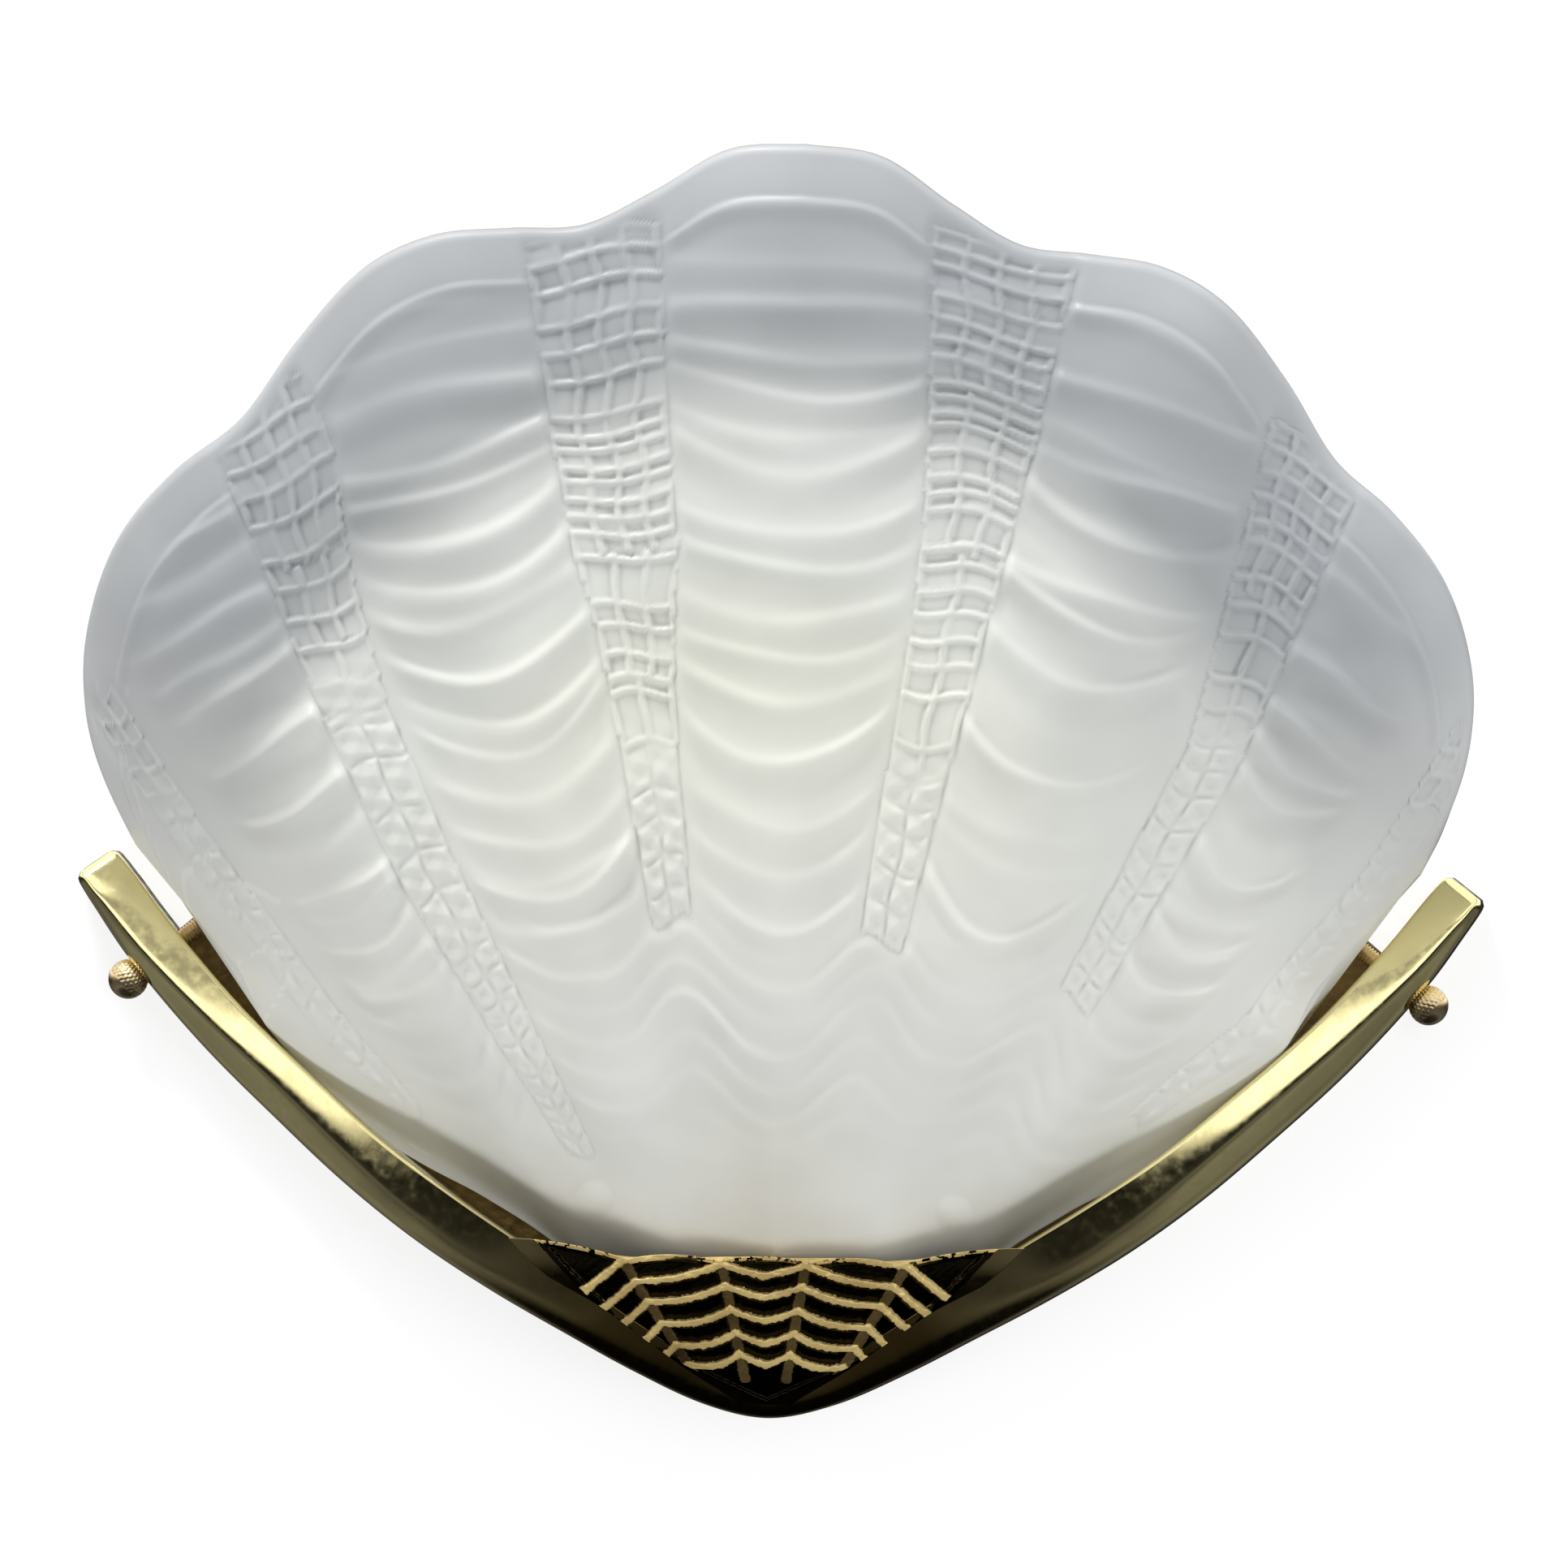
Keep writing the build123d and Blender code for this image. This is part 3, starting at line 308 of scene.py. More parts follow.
def tile_band_relief(band, index, angle, reach):
    """Height of one band's tiles, and where the band is (0 to 1)."""
    across, width = band_place(band, angle, reach)
    columns = np.ones_like(reach)
    for top, count in sorted(band["columns"], reverse=True):
        columns = np.where(reach < top, count, columns)
    rows = np.array(sorted(band["rows"]), float)
    place = reach + ROW_SKEW * np.sin(3.1 * index + 4.2 * across + 0.05 * reach)
    row = np.clip(np.searchsorted(rows, place) - 1, 0, len(rows) - 2)
    row_height = rows[row + 1] - rows[row]
    up = (place - rows[row]) / row_height
    side = np.mod((across + 0.03 * np.sin(0.33 * reach + index)) * columns, 1)
    gap_up = np.minimum(up, 1 - up) * row_height
    gap_side = np.minimum(side, 1 - side) / columns * width
    hollow = smooth(*RIB_FLANK_UP, gap_up) * smooth(*RIB_FLANK_ASIDE, gap_side)
    cell = 2.4 * row + 4.1 * np.floor(across * columns) + index
    upward, aside = FLOOR_TILT[0] * np.cos(1.7 * cell), FLOOR_TILT[1] * np.sin(2.3 * cell)
    floor = FLOOR_LEVEL * np.sin(cell) + upward * (up - 0.5) + aside * (side - 0.5)
    inside = (across > 0) & (across < 1) & (place > rows[0]) & (place < rows[-1])
    height = np.where(inside, tile_shape(band, angle, reach, hollow, cell, floor), 0)
    in_rows = smooth(rows[0] - 4, rows[0] + 1, place) * smooth(rows[-1] + 5, rows[-1] - 2, place)
    return height, smooth(*BAND_FLANK, np.minimum(across, 1 - across) * width) * in_rows


def tile_relief(angle, reach):
    """Height of the tiles, and where the bands of tiles are (0 to 1)."""
    height, covered = np.zeros_like(reach), np.zeros_like(reach)
    for index, band in enumerate(TILE_BANDS):
        tiles, here = tile_band_relief(band, index, angle, reach)
        height += tiles
        covered = np.maximum(covered, here)
    return TILE_HEIGHT * height, covered


def shell_relief(turn, reach, rim):
    """Height of the whole pressed relief over the plain shell."""
    angle = SHADE_SPREAD * np.sin(np.radians(turn))
    tiles, covered = tile_relief(angle, reach)
    folds = flute_relief(angle, turn, reach)
    waves = wave_relief(angle, turn, reach)
    field = smooth(rim - RIM_BAND + 3.5, rim - RIM_BAND, reach)
    tile_field = smooth(rim - TILE_RIM, rim - TILE_RIM - 2.5, reach)
    line = RIM_LINE * ridge(reach - (rim - RIM_BAND + 1), *RIM_LINE_SPREAD)
    waves = waves * smooth(WAVES_TOP + 14, WAVES_TOP, reach)
    flutes = (folds + waves) * field + RIM_STEP * (1 - field) + line
    grown = flutes * (1 - covered) + (tiles - FIELD_STEP) * tile_field * covered
    beads = np.zeros_like(reach)
    for side in (-1, 1):
        away = np.hypot(reach - BEAD_REACH, np.radians(angle - side * BEAD_ANGLE) * BEAD_REACH)
        beads += BEAD_RISE * np.maximum(1 - (away / BEAD_RADIUS) ** 2, 0) ** 1.5
    return grown * smooth(*FOOT_PLAIN, reach) + beads


def placed(name, data):
    """A new object in the scene."""
    new = bpy.data.objects.new(name, data)
    bpy.context.scene.collection.objects.link(new)
    return new


def mesh_of(name, points, faces):
    """A mesh from points in millimetres."""
    mesh = bpy.data.meshes.new(name)
    mesh.from_pydata((points.reshape(-1, 3) * MM).tolist(), [], faces)
    return mesh


def mesh_object(name, points, faces, body):
    """A smooth piece from points in millimetres, riding on a body."""
    mesh = mesh_of(name, points, faces)
    mesh.validate()
    mesh.shade_smooth()
    piece = placed(name, mesh)
    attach(piece, body)
    return piece


def grid_faces(rows, columns, start=0, flip=False):
    """Quads of a grid of points that are numbered row by row."""
    faces = []
    for row in range(rows - 1):
        for column in range(columns - 1):
            a = start + row * columns + column
            quad = (a, a + 1, a + columns + 1, a + columns)
            faces.append(quad[::-1] if flip else quad)
    return faces


def side_faces(rows, columns, rows_in, columns_in):
    """Faces that close the sides between an outer grid of points and the inner one that follows it."""
    left = [row * columns for row in range(rows)]
    left_in = [rows * columns + row * columns_in for row in range(rows_in)]
    right = [point + columns - 1 for point in left]
    right_in = [point + columns_in - 1 for point in left_in]
    return [tuple(left + left_in[::-1]), tuple(right[::-1] + right_in)]


def even_turns(count):
    """Angles round the shell whose points lie about evenly across the fan and over its sides."""
    fine = np.linspace(-SHADE_END_TURN, SHADE_END_TURN, 2000)
    weight = np.cos(np.radians(fine)) + 0.35
    travelled = np.concatenate([[0], np.cumsum((weight[1:] + weight[:-1]) / 2)])
    return np.interp(np.linspace(0, travelled[-1], count), travelled, fine)


def margin_place(turn, reach, depth, foot):
    """Place on the shell, with its plain margin grown towards the bar."""
    angle = SHADE_SPREAD * np.abs(np.sin(np.radians(turn)))
    low = FOOT_MARGIN * smooth(*FOOT_MARGIN_ANGLES, angle) * smooth(foot + FOOT_MARGIN_FADE, foot, reach)
    below_screws = smooth(*SIDE_MARGIN_REACH[::-1], reach)
    side = SIDE_MARGIN * smooth(SIDE_MARGIN_TURN, SHADE_END_TURN, np.abs(turn)) * below_screws
    place = fan_place(turn, reach - low, depth)
    aim = fan_aim(turn)
    place[..., 0] += side * np.sign(turn) * np.cos(aim)
    place[..., 2] -= side * np.sign(turn) * np.sin(aim)
    return place


def shell_faces(rows_in):
    """Faces of the shell: outside, inside, rim with foot, and the two side edges."""
    columns = OUTER_COLUMNS
    offset = OUTER_ROWS * columns
    faces = grid_faces(OUTER_ROWS, columns) + grid_faces(rows_in, columns, offset, flip=True)
    top_out, top_in = (OUTER_ROWS - 1) * columns, offset + (rows_in - 1) * columns
    for column in range(columns - 1):
        faces.append((top_out + column, top_out + column + 1, top_in + column + 1, top_in + column))
        faces.append((column + 1, column, offset + column, offset + column + 1))
    return faces + side_faces(OUTER_ROWS, columns, rows_in, columns)


def frosted_shell():
    """The pressed glass shell, closed: relief outside, plain inside, a rolled rim and a flat back edge."""
    turns = even_turns(OUTER_COLUMNS)
    angle = SHADE_SPREAD * np.abs(np.sin(np.radians(turns)))
    foot, rim = through(FOOT_REACH, angle), through(RIM_REACH, angle)
    share = np.linspace(0, 1, OUTER_ROWS)
    turn = np.tile(turns, (OUTER_ROWS, 1))
    reach = foot + share[:, None] * (rim - foot)
    depth = eased(shell_depth(turn, reach), GLASS_BACK_GAP + BACK_EDGE_WIDTH)
    relief = shell_relief(turn, reach, rim[None, :])
    side = smooth(SHADE_END_TURN, SHADE_END_TURN - PLAIN_SIDE, np.abs(turn))
    outer = margin_place(turn, reach, depth + relief * side - rounded(rim - reach, RIM_ROLL), foot)
    inner = margin_place(turn, reach, eased(inner_depth(turn, reach), GLASS_BACK_GAP), foot)[::INNER_SKIP]
    points = np.concatenate([outer.reshape(-1, 3), inner.reshape(-1, 3)])
    return mesh_object("frosted_shell", points, shell_faces(len(inner)), "shade")


# -------------------- brass bracket
BAR_STATIONS = [
    (0, 3.9, 7.6, 23), (12, 6.6, 8, 25), (26, 13.8, 9.6, 29), (40, 22.2, 11.2, 32), (56, 31.8, 12.6, 32),
    (72, 42, 13, 28), (86.5, 52.6, 12.6, 23), (100.5, 64.7, 12.3, 19.5), (117.5, 80.6, 12, 17),
    (133, 98, 11.8, 16), (141.5, 109.4, 11, 15.2), (144.6, 113.6, 10.4, 14.2), (145.8, 115.2, 9.6, 13.6),
]
BAR_ROUND = 5.0
# Places along the bar: distance from the middle, where its two front facets meet (share of its half width, -1
# is the outer edge), and how far the inner facet tips inwards, in degrees
BAR_FACETS = [
    (0, -0.4, -18), (30, -0.5, -17), (60, -0.5, -14), (85, -0.2, -7), (110, -0.1, 6), (131, -0.4, 16),
    (146, -0.75, 21),
]
OUTER_FACET = 40.0            # how far the outer facet tips outwards, in degrees
FACET_MEETING = (0.35, 0.5)   # how soft the meeting of the facets is, at least and more where the bar is wide
GRINDING = (0.1, 0.07)        # how wavy the hand-ground front is, in long and in short waves
EDGE_ROUNDS = (1.8, 0.9)      # outer and inner edge
TIP_ROUND = 1.6
TIP_TAPER = 0.6               # share of the tip's bevel that also narrows the bar
SIDE_POINT = 0.6              # height of the point on the bar's side, as a share of the side
BAR_STEPS = 420
BAR_FRONT_POINTS = 61
BAR_BACK_POINTS = 6
FLANGE_WIDTH = 7.0
FLANGE_DEPTHS = (2.6, 5.0)
FLANGE_FOOT_HEIGHT = 22.0
FLANGE_END_X = 133
FLANGE_LUMPS = 0.35           # how far the rough skin of the flange and the web stands out
WEB_LUMPS = 0.2
WEB_FOOT_Z = APEX_Z + 7
WEB_TOP_Z = APEX_Z + 33
WEB_OVERLAP = 1.5             # how far the web goes in behind the bar
WEB_GRID = (24, 60)
PANEL_STATIONS = [
    (3, 8, 22.5, 21), (12, 24, 29.5, 25), (22, 38, 36.5, 29), (31, 51, 41.5, 31), (40, 60, 45, 31),
]
PANEL_WALL = 3.4
PANEL_RECESS = 1.4
PANEL_RISE = 0.3              # how far the relief stands out over the panel's plain sides
PANEL_EDGE = 1.8              # the relief's finishes begin this far outside the V
PANEL_COLUMNS = 460
PANEL_ROWS = 150
BACK_SKIP = 6                 # the panel's back has one point for this many in front, each way
# The V of the cup's relief: height and half width
PANEL_V = [(-95, -20), (-86, 0), (-79.3, 14.5), (-73, 26), (-62.6, 38), (-50, 50)]
RIDGE_ANGLES = [-32, -10.5, 10.5, 32]
RELIEF_HALF_ANGLE = 57.0
RIDGE_WIDTH = 2.2
RIDGE_SHARE = 0.62            # height of the ridges, as a share of the cords'
RIDGE_START = (22, 24)        # the ridges begin between these distances from the relief's focus
CORD_RADII = [27.2, 31.7, 36.6, 41.6, 46.2, 51.0]
CORD_SPREAD = 0.0028          # share by which a cord moves out, per degree from the middle
CORD_SAG = (1.2, 1.8)         # how far a cord's ends stand above its radius, and its sag between two ridges
CORD_WIDTH = 1.75
SCALLOP_MEETINGS = [(-70, 1.5), (-29, -1), (-9.5, -1), (9.5, -1), (29, -1), (70, 1.5)]
SCALLOP_RISE = 1.2
LIP_BAND = (1.6, 0.2)         # the plain band along the lip begins between these distances below it
CORD_FINISH = 0.45            # a face is a cord's or a ridge's where its relief is higher than this
RIDGE_FINISH = 0.3
CAST_ROUGHNESS = 0.28
SMOOTH, DARK, GOLD, DULL = range(4)   # finishes of the cup's panel, in the order of its materials
SIDES = {-1: "left", 1: "right"}


def lumps(x, y, size, seed):
    """Irregular lumps between -1 and 1, from crossed waves: a stand-in for the skin of a sand casting."""
    total = np.zeros_like(np.asarray(x, float))
    for octave in range(5):
        turn = 2.4 * octave + seed
        wave = 2 * pi / size * 1.7**octave
        u = x * cos(turn) + y * sin(turn)
        v = y * cos(turn) - x * sin(turn)
        along = np.sin(wave * u + 3 * np.sin(0.6 * wave * v + seed))
        total += along * np.sin(1.13 * wave * v + seed * octave) / 1.5**octave
    return total / 2.2


def bar_line():
    """Centre (x, z), direction, width and depth of the bar at evenly spaced places, from tip to tip."""
    mirrored = [(-x, height, width, depth) for x, height, width, depth in BAR_STATIONS[:0:-1]]
    stations = np.array(mirrored + BAR_STATIONS, float)
    steps = np.hypot(np.diff(stations[:, 0]), np.diff(stations[:, 1]))
    along = np.concatenate([[0], np.cumsum(steps)])
    place = np.linspace(0, along[-1], BAR_STEPS)
    curves = (np.stack([along, stations[:, i]], axis=-1) for i in range(4))
    x, height, width, depth = (through(curve, place) for curve in curves)
    z = APEX_Z + height
    run, climb = np.gradient(x), np.gradient(z)
    length = np.hypot(run, climb)
    return x, z, run / length, climb / length, width, depth


def bar_front(across, x, half, along):
    """Depth of the bar's front below its highest line: two hand-ground facets that meet in a soft crease."""
    facets = np.array(BAR_FACETS, float)
    crease = through(facets[:, :2], np.abs(x))[:, None]
    tip = np.radians(through(facets[:, [0, 2]], np.abs(x)))[:, None]
    place = (across - crease) * half
    inner = -np.tan(tip) * place
    outer = tan(radians(OUTER_FACET)) * place
    meet = FACET_MEETING[0] + FACET_MEETING[1] * half / half.max()
    height = (inner + outer - np.hypot(inner - outer, meet)) / 2
    for edge, radius in ((1 + across, EDGE_ROUNDS[0]), (1 - across, EDGE_ROUNDS[1])):
        height -= rounded(edge * half, radius)
    long, short = np.sin(along[:, None] / 9.0 + 1.4 * across), np.sin(along[:, None] / 4.3 + 2.0)
    height += GRINDING[0] * long + GRINDING[1] * short
    return height - height.max(axis=1, keepdims=True)


def closed_sweep(sections):
    """Faces of a tube of closed sections, with both ends capped."""
    count, around = sections.shape[:2]
    faces = []
    for row in range(count - 1):
        for column in range(around):
            following = (column + 1) % around
            a, b = row * around, (row + 1) * around
            faces.append((a + column, b + column, b + following, a + following))
    faces.append(tuple(range(around)))
    faces.append(tuple(reversed(range((count - 1) * around, count * around))))
    return faces


def bracket_bar():
    """The V-shaped bar: ground front, straight sides, flat back, bevelled tips and two seats."""
    x, z, run, climb, width, depth = bar_line()
    along = np.concatenate([[0], np.cumsum(np.hypot(np.diff(x), np.diff(z)))])
    front = np.sin(np.linspace(-pi / 2, pi / 2, BAR_FRONT_POINTS))
    across = np.concatenate([[-1, -1], front, [1, 1], np.linspace(0.9, -0.9, BAR_BACK_POINTS)])
    half = width[:, None] / 2
    end = np.minimum(along, along[-1] - along)[:, None]
    tip = rounded(end, TIP_ROUND)
    top = depth[:, None] + bar_front(front[None, :], x, half, along) - tip
    edge = SIDE_POINT * (depth[:, None] - BAR_ROUND - tip)
    flat = np.zeros((len(x), 1))
    out = np.concatenate([flat, edge, top, edge, flat, np.zeros((len(x), BAR_BACK_POINTS))], axis=1)
    spread = across * (half - TIP_TAPER * tip)
    x, z, run, climb = (value[:, None] for value in (x, z, run, climb))
    points = np.stack([x - climb * spread, -out, z + run * spread], axis=-1)
    bar = mesh_object("bracket_bar", points, closed_sweep(points), "bracket")
    for side in SIDES:
        cut_seat(bar, side)
    return bar


def cut_seat(bar, side):
    """The dished seat round a thumb screw's collar, and the hole for its stud."""
    profile = np.array(SEAT_PROFILE)
    points = turned(side, np.repeat(profile[:, 1:], SEAT_POINTS, axis=1), profile[:, 0])
    cutter = placed("seat_cutter", mesh_of("seat_cutter", points, closed_sweep(points)))
    cut = bar.modifiers.new("seat", "BOOLEAN")
    cut.operation, cut.solver, cut.object = "DIFFERENCE", "EXACT", cutter
    shape = bpy.data.meshes.new_from_object(bar.evaluated_get(bpy.context.evaluated_depsgraph_get()))
    bar.modifiers.remove(cut)
    bar.data = shape
    bpy.data.objects.remove(cutter)


def panel_outer(x, height):
    """Depth of the cup panel's plain outer face at a place in the front view."""
    stations = np.array(PANEL_STATIONS, float)
    half, middle, end = (through(stations[:, [0, i]], height) for i in (1, 2, 3))
    sagitta = middle - end
    radius = (half**2 + sagitta**2) / (2 * sagitta)
    return middle - radius + np.sqrt(np.maximum(radius**2 - x**2, 0))


def lip_height(x):
    """Height of the scalloped lip above the apex."""
    top = np.zeros_like(x)
    for (x0, h0), (x1, h1) in zip(SCALLOP_MEETINGS, SCALLOP_MEETINGS[1:]):
        t = (x - x0) / (x1 - x0)
        bulge = max(h0, h1) + SCALLOP_RISE - (h0 + h1) / 2
        top = np.where((t >= 0) & (t <= 1), h0 + (h1 - h0) * t + bulge * 4 * t * (1 - t), top)
    return CUP_LIP_Z - APEX_Z + top


def panel_relief(x, z):
    """(ridges, cords, how far inside the V, cast roughness) of the cup's relief."""
    radius = np.hypot(x, z - RELIEF_FOCUS_Z)
    angle = np.degrees(np.arctan2(x, z - RELIEF_FOCUS_Z))
    rough = lumps(x, z, 5.0, 1.0)
    ridges, cords = np.zeros_like(radius), np.zeros_like(radius)
    for ridge_angle in RIDGE_ANGLES:
        away = np.abs(np.radians(angle - ridge_angle) * radius) + 0.3 * rough
        ridge_line = smooth(0.5 * RIDGE_WIDTH + 0.35, 0.5 * RIDGE_WIDTH - 0.45, away)
        ridges = np.maximum(ridges, RIDGE_SHARE * (ridge_line * smooth(*RIDGE_START, radius)))
    edges = [-RELIEF_HALF_ANGLE] + RIDGE_ANGLES + [RELIEF_HALF_ANGLE]
    for cord in CORD_RADII:
        for left, right in zip(edges, edges[1:]):
            t = (angle - left) / (right - left)
            hang = (cord + CORD_SAG[0] - CORD_SAG[1] * 4 * t * (1 - t)) * (1 + CORD_SPREAD * np.abs(angle))
            away = np.abs(radius - hang) + 0.28 * rough
            line = smooth(0.5 * CORD_WIDTH + 0.3, 0.5 * CORD_WIDTH - 0.4, away)
            cords = np.where((t >= 0) & (t <= 1), np.maximum(cords, line), cords)
    edge = through(PANEL_V, z) - np.abs(x)
    inside = smooth(-0.5, 1.2, edge + 0.5 * rough)
    return ridges, cords, inside, rough


def panel_faces(rows_in, columns_in):
    """Faces of the panel: front, back, lip, foot and its two sides."""
    rows, columns = PANEL_ROWS, PANEL_COLUMNS
    offset = rows * columns
    faces = grid_faces(rows, columns) + grid_faces(rows_in, columns_in, offset, flip=True)
    top = [(rows - 1) * columns + column for column in range(columns)]
    top_back = [offset + (rows_in - 1) * columns_in + column for column in range(columns_in)]
    bottom = list(range(columns))
    bottom_back = [offset + column for column in range(columns_in)]
    ends = [tuple(top + top_back[::-1]), tuple(bottom[::-1] + bottom_back)]
    return faces + ends + side_faces(rows, columns, rows_in, columns_in)


def cup_panel():
    """The cup's front panel, closed: smooth sides, dark recess and rough golden relief.

    Returns the finish of each face with it.
    """
    share = np.linspace(-1, 1, PANEL_COLUMNS)[None, :].repeat(PANEL_ROWS, 0)
    up = np.linspace(0, 1, PANEL_ROWS)[:, None].repeat(PANEL_COLUMNS, 1)
    low = PANEL_STATIONS[0][0]
    stations = np.array(PANEL_STATIONS, float)
    x = share * through(stations[:, :2], low + up * (CUP_LIP_Z - APEX_Z - low))
    height = low + up * (lip_height(x) - low)
    z = APEX_Z + height
    plain_depth = panel_outer(x, height)
    ridges, cords, inside, rough = panel_relief(x, z)
    raised = np.maximum(ridges, cords)
    lip = smooth(*LIP_BAND, lip_height(x) - height)
    recess = inside * (1 - np.maximum(raised, lip))
    skin = CAST_ROUGHNESS * rough * inside * (0.35 + raised)
    depth = plain_depth - PANEL_RECESS * recess + PANEL_RISE * inside * raised + skin
    outer = np.stack([x, -depth, z], axis=-1)
    back = np.stack([x, PANEL_WALL - plain_depth, z], axis=-1)[::BACK_SKIP, ::BACK_SKIP]
    rows_in, columns_in = back.shape[:2]
    finish = np.where(cords > CORD_FINISH, GOLD, np.where(ridges > RIDGE_FINISH, DULL, DARK))
    finish = np.where((lip > 0.5) & (rough < 0.2), GOLD, finish)
    finish = np.where(through(PANEL_V, z) - np.abs(x) < -PANEL_EDGE, SMOOTH, finish)
    front_kinds = finish[:-1, :-1].reshape(-1).tolist()
    back_kinds = [DARK] * ((rows_in - 1) * (columns_in - 1))
    points = np.concatenate([outer.reshape(-1, 3), back.reshape(-1, 3)])
    panel = mesh_object("cup_panel", points, panel_faces(rows_in, columns_in), "bracket")
    return panel, front_kinds + back_kinds + [GOLD, DARK, DARK, DARK]


def cast_slab(name, x, z, front_depth):
    """A rough casting with a flat back, from rows of places in the front view and the depth of its front."""
    front = np.stack([x, -front_depth, z], axis=-1)
    back = np.stack([x, np.full_like(x, -FLANGE_DEPTHS[0]), z], axis=-1)[:, ::-1]
    sections = np.concatenate([front, back], axis=1)
    return mesh_object(name, sections, closed_sweep(sections), "bracket")


def cast_flange(side):
    """The rough flange inside the bar that backs the shade's edge, on one side."""
    line = bar_line()[:5]
    x, z = line[:2]
    chosen = (side * x > 0) & (z - APEX_Z > FLANGE_FOOT_HEIGHT) & (side * x < FLANGE_END_X)
    x, z, run, climb, width = (value[chosen][:, None] for value in line)
    share = np.linspace(0, 1, 9)[None, :]
    inset = share * (width / 2 + FLANGE_WIDTH)
    x = x - climb * inset
    z = z + run * inset
    rough = lumps(x, z, 4.5, 2.0)
    edge = 0.5 * share**4 * lumps(x * 1.3, z * 1.3, 6.0, 3.0)
    front_depth = FLANGE_DEPTHS[1] - FLANGE_LUMPS + FLANGE_LUMPS * rough
    return cast_slab(f"cast_flange_{SIDES[side]}", x - climb * edge, z + run * edge, front_depth)


def cast_web():
    """The web that fills the foot of the V behind the cup."""
    x, z = bar_line()[:2]
    right = x > 0
    heights = np.linspace(WEB_FOOT_Z, WEB_TOP_Z, WEB_GRID[0])
    half = np.interp(heights, z[right], x[right]) + WEB_OVERLAP
    x = half[:, None] * np.linspace(-1, 1, WEB_GRID[1])[None, :]
    z = np.repeat(heights[:, None], WEB_GRID[1], axis=1)
    return cast_slab("cast_web", x, z, FLANGE_DEPTHS[1] - WEB_LUMPS + WEB_LUMPS * lumps(x, z, 6.0, 4.0))


# -------------------- thumb screws
SCREW_X = 131.3
SCREW_Z = APEX_Z + 95.8
SCREW_DEPTH = 9.0
SCREW_SLOPE = 38.0
STUD_RADIUS = 2.0
STUD_REACH = 10.4
STUD_END_ROUND = 0.5          # how much thinner the stud is at its rounded ends
STUD_POINTS = 40
THREAD_PITCH = 0.7
THREAD_DEPTH = 0.34
THREAD_STEPS = 9              # steps along the stud for each turn of its thread
KNOB_GAP = 3.2
# Collar and neck of the knob: distance out from its foot, and radius
NECK_PROFILE = [(0, 2.1), (0, 2.9), (0.25, 3.1), (1.0, 3.1), (1.3, 2.6), (1.6, 2.3), (2.2, 2.35)]
NECK_HEIGHT = 2.2
BALL_RADIUS = 4.25
BALL_START = -0.86            # where the ball leaves its neck: radians up from its middle
BALL_STEPS = 70
KNURLS = 26
KNURL_DEPTH = 0.22
KNURL_SLANT = 6.5
KNURL_START = (-0.85, -0.7)   # the knurled band begins and ends here, in radians up from the ball's middle
KNURL_END = (0.42, 0.2)
KNOB_POINTS = 130
SEAT_REACH = 2.8
SEAT_RADIUS = 3.7
SEAT_MOUTH = 5.0
SEAT_FLARE = 2.6
# The seat's cutter: distance out along the screw's axis, and radius
SEAT_PROFILE = [
    (-14, STUD_RADIUS + 0.1), (SEAT_REACH - 0.3, STUD_RADIUS + 0.1), (SEAT_REACH, SEAT_RADIUS - 0.8),
    (SEAT_REACH + 0.25, SEAT_RADIUS), (SEAT_REACH + SEAT_FLARE, SEAT_MOUTH), (16, SEAT_MOUTH + 0.3),
]
SEAT_POINTS = 64


def turned(side, radius, along):
    """Points round a thumb screw's axis, from radii (along, around) at distances out along the axis."""
    slope = radians(SCREW_SLOPE)
    axis = np.array([side * cos(slope), 0, -sin(slope)])
    first = np.array([0, -1, 0])
    second = np.cross(axis, first)
    around = np.linspace(0, 2 * pi, radius.shape[1], endpoint=False)
    spoke = np.cos(around)[:, None] * first + np.sin(around)[:, None] * second
    origin = np.array([side * SCREW_X, -SCREW_DEPTH, SCREW_Z])
    return origin + along[:, None, None] * axis + radius[:, :, None] * spoke[None]


def thumb_stud(side):
    """Stud with a real helical thread, rounded at its ends."""
    start, end = -STUD_REACH, KNOB_GAP + 5
    along = np.linspace(start, end, int((end - start) / THREAD_PITCH * THREAD_STEPS))
    around = np.linspace(0, 2 * pi, STUD_POINTS, endpoint=False)
    phase = np.mod(along[:, None] / THREAD_PITCH - side * around[None, :] / (2 * pi), 1)
    groove = 1 - np.abs(2 * phase - 1)
    ends = smooth(0, 0.7, np.minimum(along - start, end - along))[:, None]
    radius = STUD_RADIUS - THREAD_DEPTH * smooth(0.2, 0.8, groove) - STUD_END_ROUND * (1 - ends)
    points = turned(side, radius, along)
    return mesh_object(f"{SIDES[side]}_threaded_stud", points, closed_sweep(points), f"{SIDES[side]}_stud")


